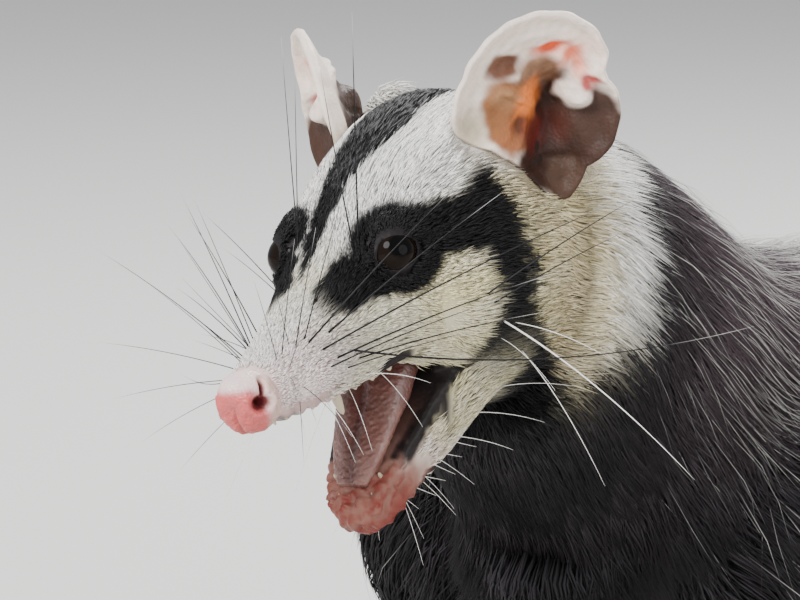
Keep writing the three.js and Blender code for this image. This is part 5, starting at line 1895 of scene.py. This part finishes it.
@dataclass
class Nose:
    """The bare nose pad with comma-shaped nostrils, a groove down its middle and fine bumps."""

    anatomy: Anatomy
    workshop: Workshop
    sections: tuple = (
        (1.4, 2.2, 5.8, 3.4, 1.0), (2.2, 3.8, 7.6, 3.2, -1.6), (4.2, 5.0, 8.8, 3, -3.2),
        (6.8, 5.8, 9, 2.8, -3.8), (9.8, 5.6, 8.4, 2.6, -3.4), (13.0, 5.0, 7.4, 2.4, -2.8),
    )

    def build(self) -> None:
        """Press the nostrils, groove and bumps into the pad, away from or towards its middle.

        A nostril is a round pit that runs back into a slit which turns up, each a bell in the
        head's axes.
        """
        pad = Loft(Anatomy.head_rows(self.sections), head_matrix(), along=(1.0, 0.0, 0.0))
        shell = pad.surface(150, 140)
        local, s = head_places(shell.points)
        y, z = local[:, 1], local[:, 2]
        side = np.abs(y)
        centre = np.stack(
            [np.full(len(s), behind_nose(7.5)), np.zeros(len(s)), np.full(len(s), 2.6)], 1
        )
        inward = unit(centre - local)
        along, off = 0.43 * (s - 4.5) + 0.90 * (z - 3.2), 0.90 * (s - 4.5) - 0.43 * (z - 3.2)
        pit = 4.2 * np.exp(-((off / 1.75) ** 2 + (along / 1.6) ** 2) ** 1.5) * (side > 1.2)
        slit = 1.9 * np.exp(-(((off - 0.10 * along) / 0.6) ** 2))
        slit *= smooth_step(0.4, 1.4, along) * smooth_step(5.6, 4.2, along) * (side > 1.5)
        rim = 0.55 * np.exp(-((np.hypot(off / 1.1, along) - 2.3) ** 2) / 0.5)
        rim *= (side > 1.2) & (along < 1.5)
        wing = 0.7 * np.exp(-(((off - 2.6) / 1.6) ** 2 + ((along - 1.2) / 2.6) ** 2)) * (side > 1.2)
        groove = 0.9 * np.exp(-((y / 0.55) ** 2)) * smooth_step(6.0, 3.5, z)
        bumps = 0.07 * ripple(shell.points, 1.0, 40) + 0.12 * ripple(shell.points, 2.6, 41)
        depth = np.maximum(pit, slit) + groove - rim - wing
        moved = local + inward * (depth + bumps)[:, None]
        shell.points = carry(head_matrix(), moved)
        piece = self.workshop.mesh("nose_pad", shell)
        front = smooth_step(7.0, 3.6, s - 0.35 * (2.0 - z)) * smooth_step(7.6, 5.6, z)
        colour = mix(np.array(NOSE_WHITE), np.array(NOSE_RED), front)
        low = smooth_step(1.5, -3.0, z) * smooth_step(9.5, 5.0, s) * 0.7
        colour = mix(colour, (0.50, 0.095, 0.080), low)
        flank = smooth_step(5.2, 7.6, s) * smooth_step(2.6, 4.2, side) * 0.85
        colour = mix(colour, (0.60, 0.44, 0.36), flank)
        speck = smooth_step(0.8, 1.1, ripple(shell.points, 1.2, 42))
        speck *= smooth_step(5, 7, z) * smooth_step(5, 8, s)
        colour = mix(colour, (0.26, 0.11, 0.08), speck * 0.8)
        # The nostrils are painted dark where the pits and slits are deepest: a dark red lining with
        # painted shade in the holes.
        colour = mix(colour, NOSTRIL, smooth_step(0.4, 1.6, np.maximum(pit, 1.2 * slit)))
        # Painted shade: the groove is painted darker red where it is deepest.
        colour = mix(colour, (0.42, 0.12, 0.10), smooth_step(0.3, 0.9, groove) * 0.6)
        self.workshop.paint(piece, "tint", colour)
        finish = SkinFinish(
            "nose_skin", deep=(0.50, 0.13, 0.12), roughness=0.42, mottle=0.3, scale=1500.0,
            bump=0.5, subsurface=0.1, coat=0.08
        )
        self.workshop.finish(piece, [finish.material()], Finish.PINK, "nose")


@dataclass
class Mouth:
    """What the open mouth shows: tongue, teeth and gums."""

    anatomy: Anatomy
    workshop: Workshop
    upper: tuple = (
        (10.5, 3.0, -0.6, 0.4), (13.0, 4.1, -0.6, 0.4), (19, 6.4, -0.2, 0.6),
        (25.5, 7.8, 4.0, 1.15), (31, 8.6, 0.8, 0.9), (36, 9.5, 1.0, 1.0), (41, 10.4, 1.0, 1.1)
    )
    lower: tuple = ((54.5, 3.2, 0.2, 0.35), (52, 4.6, 0.2, 0.35), (48.5, 6.1, 1.6, 0.7))

    def build(self) -> None:
        """Make the tongue and both rows of teeth."""
        self.tongue()
        self.teeth()

    def tongue(self) -> None:
        """Make the tongue: a loft with a furrow down its back and small bumps all over."""
        shell = self.anatomy.tongue.surface(130, 96)
        local = carry_back(jaw_matrix(), shell.points)
        top = smooth_step(-0.5, 2.5, local[:, 2])
        furrow = -0.9 * np.exp(-((local[:, 1] / 1.1) ** 2)) * top
        bumps = 0.16 * ripple(shell.points, 1.3, 60) + 0.35 * ripple(shell.points, 6.0, 61)
        shell.points = shell.points + ((furrow + bumps * top)[:, None]) * jaw_matrix()[:3, 2]
        piece = self.workshop.mesh("tongue_flesh", shell)
        cloud = 0.5 + 0.5 * ripple(shell.points, 5.0, 62)
        colour = mix(np.array((0.165, 0.088, 0.070)), np.array((0.25, 0.145, 0.115)), cloud)
        # Painted shade: darker down the furrow and towards the back of the mouth.
        colour = mix(colour, (0.050, 0.025, 0.020), np.exp(-((local[:, 1] / 2.4) ** 2)) * 0.85)
        colour = mix(colour, (0.060, 0.028, 0.022), smooth_step(-44, -24, local[:, 0]) * 0.92)
        self.workshop.paint(piece, "tint", colour)
        finish = SkinFinish(
            "tongue_skin", deep=(0.36, 0.11, 0.10), roughness=0.32, mottle=0.4, scale=1300.0,
            bump=0.5, subsurface=0.1, coat=0.2
        )
        self.workshop.finish(piece, [finish.material()], Finish.PINK, "tongue")

    def teeth(self) -> None:
        """Make every tooth as a cone that leans back a little, its radius falling to a point."""
        shells = []
        at = np.linspace(0, 1, 12)
        for rows, matrix, sign, gum in (
            (self.upper, head_matrix(), 1, -4.6), (self.lower, jaw_matrix(), -1, 1.0)
        ):
            for s, y, length, radius in rows:
                x = behind_nose(s) if sign > 0 else -s
                for hand in HANDS.values():
                    path = np.stack([
                        x + 0.16 * length * at**2,
                        hand * (y - 1.0 + 0.4 * at),
                        gum - sign * (length + 2.5) * at + sign * 2.5,
                    ], 1)
                    size = radius * np.sqrt(np.clip(1 - at**1.7, 0, 1)) + 0.05
                    shells.append(closed_tube(carry(matrix, path), size, 14))
        shell = Shell.joined(shells)
        piece = self.workshop.mesh("teeth", shell)
        finish = SkinFinish(
            "tooth_enamel", deep=(0.45, 0.33, 0.18), colour=(0.52, 0.45, 0.32), roughness=0.3,
            mottle=0.4, scale=600.0, bump=0.15, coat=0.3
        )
        self.workshop.finish(piece, [finish.material()], Finish.FACE)


@dataclass
class Whiskers:
    """Long stiff hairs on muzzle, brow, cheek and chin, each a tapering bent tube."""

    anatomy: Anatomy
    workshop: Workshop
    sides: int = 5
    rings: int = 20
    long_radius: float = 0.20
    face: tuple = (
        ((26.3, 10.5, 3.8), (29, 37, 5), -4, 0), ((23.0, 9.9, 2.9), (21, 30, 5), -3, 0),
        ((31.4, 11.8, 1.4), (21, 32, 0), -3, 0), ((30.8, 11.8, 3.2), (50, 60, -18), 16, 0),
        ((27.8, 10.8, 0.8), (13, 25, 2), -2, 0), ((24.1, 9.4, 6.7), (46, 52, 13), -5, 0),
        ((22.1, 7.7, 9.3), (27, 29, 24), -3, 0), ((27.3, 9.3, 9.2), (26, 31, 18), -3, 0),
        ((22.0, 6.6, 10.5), (9, 12, 27), -2, 0), ((19.0, 6.2, 10.2), (2, 11, 24), -1, 0),
        ((17.9, 5.0, 10.2), (-7, 6, 20), 0, 0), ((15.0, 5.0, 9.2), (-12, 20, 29), -4, 0),
        ((13.4, 4.6, 8.8), (-12, 9, 22), -2, 0), ((14.5, 6.2, 6.2), (-17, 19, 14), -3, 0),
        ((13.5, 6.6, 4.6), (-20, 16, 4), -3, 0), ((15.5, 7.2, 2.0), (-14, 20, -6), -4, 0),
        ((14.5, 6.6, -0.6), (-16, 9, -8), -2, 0), ((18.3, 5.9, -4.6), (-7, 6, -8), -2, 1),
        ((15.0, 5.4, -3.8), (-8, 5, -10), -2, 1), ((22.0, 7.2, -4.4), (-5, 7, -12), -3, 1),
        ((20.7, 7.9, -3.1), (-5, 10, -11), -4, 1), ((27.7, 9.0, -4.5), (-7, 7, -11), -4, 1),
        ((32.1, 10.3, -2.9), (2, 15, -3), -4, 1), ((36.0, 11.0, -4.0), (-2, 9, -12), -4, 1),
        ((45.7, 7.4, 21.7), (15, 2, 43), 4, 0), ((44.4, 6.6, 21.3), (9, -3, 36), 4, 0),
        ((63.2, 21.5, -8.2), (-4, 14, -11), -6, 1), ((69.7, 21.3, -13.5), (-8, 18, -28), -9, 1),
        ((63.0, 23.3, -4.2), (3, 35, -38), -10, 1), ((60.0, 22.6, -0.6), (18, 30, 10), -3, 0),
        ((58.8, 22.8, 1.9), (22, 33, 14), -3, 0), ((66.0, 22.4, -6.0), (6, 20, -12), -6, 1),
    )
    chin: tuple = (
        ((50.0, 5.6, -8.4), (-11, 4, -7), -2, 1), ((44.0, 7.6, -9.8), (-4, 5, -8), -1, 1),
        ((38.0, 8.8, -11.4), (-2, 5, -8), -1, 1), ((32.0, 10.5, -12.6), (2, 8, -10), -2, 1),
        ((47.0, 3.4, -9.6), (-6, 2, -9), -1, 1), ((26.0, 12.0, -13.6), (4, 10, -12), -3, 1),
        ((41.0, 5.0, -11.4), (-3, 3, -11), -2, 1), ((20.0, 13.0, -14.8), (6, 14, -10), -4, 1),
        ((48.0, 5.0, -9.0), (-1, 2, -4), 0, 1), ((45.0, 6.4, -10.2), (0, 3, -4), 0, 1),
        ((42.0, 7.2, -10.8), (1, 3, -4), 0, 1), ((39.0, 7.8, -11.4), (0, 3, -5), 0, 1),
        ((36.0, 8.6, -12.0), (1, 3, -4), 0, 1), ((33.0, 9.4, -12.4), (1, 4, -5), 0, 1),
    )

    def build(self) -> None:
        """Make all whiskers as one piece: curves that bend down or up and thin to a point."""
        roots, ways, bends, shades, ahead = [], [], [], [], []
        draw = np.random.default_rng(77)
        for table, matrix in ((self.face, head_matrix()), (self.chin, jaw_matrix())):
            for hand in HANDS.values():
                for (first, side, height), way, bend, shade in table:
                    x = behind_nose(first) if table is self.face else -first
                    flip = np.array([1.0, hand, 1.0])
                    loose = draw.normal(0, 0.03, 3) * (hand > 0) * np.linalg.norm(way)
                    roots.append(carry(matrix, np.array([x, hand * side, height])))
                    ways.append(matrix[:3, :3] @ (np.array(way, float) * flip + loose))
                    bends.append(float(bend))
                    shades.append(float(shade))
                    ahead.append(hand > 0 or way[0] < 0)
        roots, ways, bends, shade = (np.array(rows) for rows in (roots, ways, bends, shades))
        at = np.linspace(0, 1, self.rings)
        path = roots[:, None] + ways[:, None] * at[None, :, None]
        sag = bends[:, None] * (at[None] ** 2 - at[None])
        path = path + np.array([0.0, 0.0, 1.0]) * sag[..., None]
        path -= unit(ways)[:, None] * 1.2
        length = np.linalg.norm(ways, axis=1)
        thin = np.where(np.array(ahead), 0.66, 1.0)
        radii = self.long_radius * np.clip(length / 45, 0.4, 1.0) * thin
        shells = [
            closed_tube(line, radius * (1 - at) ** 0.7 + 0.02, self.sides)
            for line, radius in zip(path, radii)
        ]
        piece = self.workshop.mesh("whiskers", Shell.joined(shells))
        per = self.rings * self.sides + 2
        run = np.append(np.repeat(at, self.sides), [0.0, 1.0])
        dark, pale = np.array((0.012, 0.011, 0.012)), np.array(WHITE)
        whole = np.where(shade[:, None] > 0.5, 1.0, smooth_step(0.75, 1.0, run)[None] * 0.6)
        colour = dark + (pale - dark) * whole.reshape(len(shade), per, 1)
        self.workshop.paint(piece, "tint", colour.reshape(-1, 3))
        finish = HairFinish("whisker_hair", roughness=0.35)
        self.workshop.finish(piece, [finish.material()], Finish.FACE)


@dataclass
class Claws:
    """The horn claws of all four feet."""

    anatomy: Anatomy
    workshop: Workshop

    def build(self) -> None:
        """Make all claws as one piece."""
        shells = []
        for side, hand in HANDS.items():
            for legs, fore in ((self.anatomy.forelegs, True), (self.anatomy.hindlegs, False)):
                shells += Foot(hand, legs[side], fore).claws()
        shell = Shell.joined(shells)
        shell.points[:, 2] = np.maximum(shell.points[:, 2], 0.0)
        piece = self.workshop.mesh("claws", shell)
        finish = SkinFinish(
            "claw_horn", deep=(0.20, 0.13, 0.07), colour=(0.55, 0.44, 0.30), roughness=0.35,
            mottle=0.6, scale=700.0, bump=0.2, coat=0.1
        )
        self.workshop.finish(piece, [finish.material()], Finish.FOOT)


@dataclass
class BareTail:
    """The bare length of the tail: rings of small scales, dark first and pale to the tip."""

    anatomy: Anatomy
    workshop: Workshop
    start: float = 0.255
    rows: int = 760
    columns: int = 56
    ring_pitch: float = 1.7

    def build(self) -> None:
        """Carry the loft's section along the tail, raised by a brick pattern of scales."""
        loft = self.anatomy.tail
        at = np.linspace(self.start, 1.0, self.rows)
        turn = np.arange(self.columns) * 2 * np.pi / self.columns
        u, v = np.meshgrid(at, turn, indexing="ij")
        run = u * loft.length / self.ring_pitch
        row = np.floor(run)
        ridge = np.abs(np.sin(np.pi * run)) ** 0.6
        brick = np.abs(np.sin(7 * v + np.pi / 2 * (row % 2))) ** 0.5
        taper = smooth_step(1.0, 0.9, u) * 0.7 + 0.3
        height = (0.34 * ridge * brick - 0.2) * taper + smooth_step(0.30, 0.26, u) * -0.5
        points = loft.point(u.ravel(), v.ravel(), height.ravel())
        points[:, 2] = np.maximum(points[:, 2], 0.0)
        shell = Shell.from_rings(points.reshape(self.rows, self.columns, 3))
        piece = self.workshop.mesh("bare_tail", shell)
        share = np.append(u.ravel(), [self.start, 1.0])
        wobble = 0.03 * ripple(shell.points, 14.0, 70) + 0.02 * ripple(shell.points, 4.0, 71)
        pale = smooth_step(0.50, 0.60, share + wobble)
        colour = mix(np.array(TAIL_DARK), np.array(TAIL_PALE), pale)
        # Painted shade: darker in the grooves between the scales, where the relief is low.
        groove_shade = np.append((1 - ridge * brick).ravel(), [0.0, 0.0])
        self.workshop.paint(piece, "tint", colour * (1 - 0.45 * groove_shade)[:, None])
        finish = SkinFinish(
            "tail_scales", deep=(0.05, 0.03, 0.03), roughness=0.55, mottle=0.3, scale=1200.0,
            bump=0.3
        )
        self.workshop.finish(piece, [finish.material()], Finish.TAIL, "tail_middle", "tail_end")


@dataclass
class Studio:
    """The camera at the photograph's angle, soft lights and a plain pale floor."""

    workshop: Workshop

    def build(self) -> None:
        """Set up everything that isn't part of the animal."""
        self.camera()
        self.floor()
        self.lights()

    def axes(self) -> tuple[np.ndarray, np.ndarray, np.ndarray]:
        """Give the view's right, up and back directions."""
        a, e = rad(VIEW_AZIMUTH), rad(VIEW_ELEVATION)
        back = np.array([math.sin(a) * math.cos(e), -math.cos(a) * math.cos(e), math.sin(e)])
        right = unit(np.cross([0.0, 0.0, 1.0], back))
        return right, np.cross(back, right), back

    def aim(self) -> np.ndarray:
        """Give the point at the middle of the photograph, in metres."""
        right, up, _ = self.axes()
        origin = np.array([0.0, 0.0, HEAD_HEIGHT])
        return self.workshop.place(origin - VIEW_SHIFT_RIGHT * right - VIEW_SHIFT_UP * up)

    def camera(self) -> None:
        """Place the camera on the view's line, with a lens that gives the photograph's scale."""
        right, up, back = self.axes()
        data = bpy.data.cameras.new("camera")
        data.sensor_width = SENSOR
        data.lens = SENSOR * VIEW_DISTANCE * VIEW_SCALE / PHOTO_WIDTH
        data.clip_end = 20.0
        camera = bpy.data.objects.new("camera", data)
        rows = zip(np.stack([right, up, back], 1), self.aim() + back * VIEW_DISTANCE * MM)
        camera.matrix_world = Matrix([[*row, place] for row, place in rows] + [[0, 0, 0, 1]])
        bpy.context.scene.collection.objects.link(camera)
        bpy.context.scene.camera = camera

    def floor(self) -> None:
        """Lay a wide pale floor just under the soles."""
        data = bpy.data.meshes.new("floor")
        ways = ((-1, -1), (1, -1), (1, 1), (-1, 1))
        corners = [(x * FLOOR_REACH, y * FLOOR_REACH, -FLOOR_DROP) for x, y in ways]
        data.from_pydata(corners, [], [(0, 1, 2, 3)])
        floor = bpy.data.objects.new("floor", data)
        bpy.context.scene.collection.objects.link(floor)
        made, _, shader = Kit.begin("floor_paper")
        Kit.fill(shader, {"Base Color": (*PAPER, 1), "Roughness": 0.9})
        data.materials.append(made)

    def lights(self) -> None:
        """Hang a large key light by the camera's left, a fill, a rim light and a pale sky."""
        right, up, back = self.axes()
        target = self.aim()
        for name, way, distance, size, power in (
            ("key", -0.75 * right + 0.75 * up + 0.9 * back, 1.5, 0.9, 36.0),
            ("fill", 0.9 * right + 0.25 * up + 0.8 * back, 1.8, 1.4, 13.0),
            ("rim", 0.5 * right + 0.9 * up - 0.7 * back, 1.5, 0.7, 36.0),
        ):
            data = bpy.data.lights.new(name, "AREA")
            data.shape = "DISK"
            data.size = size
            data.energy = power
            lamp = bpy.data.objects.new(name, data)
            place = Vector(target + unit(way) * distance)
            turn = (Vector(target) - place).to_track_quat("-Z", "Y")
            lamp.matrix_world = Matrix.Translation(place) @ turn.to_matrix().to_4x4()
            bpy.context.scene.collection.objects.link(lamp)
        world = bpy.data.worlds.new("sky")
        world.use_nodes = True
        Kit.fill(world.node_tree.nodes["Background"], {"Color": (*SKY, 1), "Strength": 0.7})
        bpy.context.scene.world = world


def main() -> None:
    """Build the animal and its studio; each piece's face count is logged as it is finished."""
    logging.basicConfig(level=logging.INFO, format="%(name)s %(message)s")
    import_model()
    workshop = Workshop()
    Studio(workshop).build()
    anatomy = Anatomy()
    markings = Markings(anatomy)
    skin = Skin(anatomy, markings, workshop).build()
    Eyes(anatomy, workshop).build()
    Nose(anatomy, workshop).build()
    Ears(workshop).build()
    Mouth(anatomy, workshop).build()
    Coat(anatomy, markings, workshop, skin).build()
    Whiskers(anatomy, workshop).build()
    Claws(anatomy, workshop).build()
    BareTail(anatomy, workshop).build()


if __name__ == "__main__":
    main()
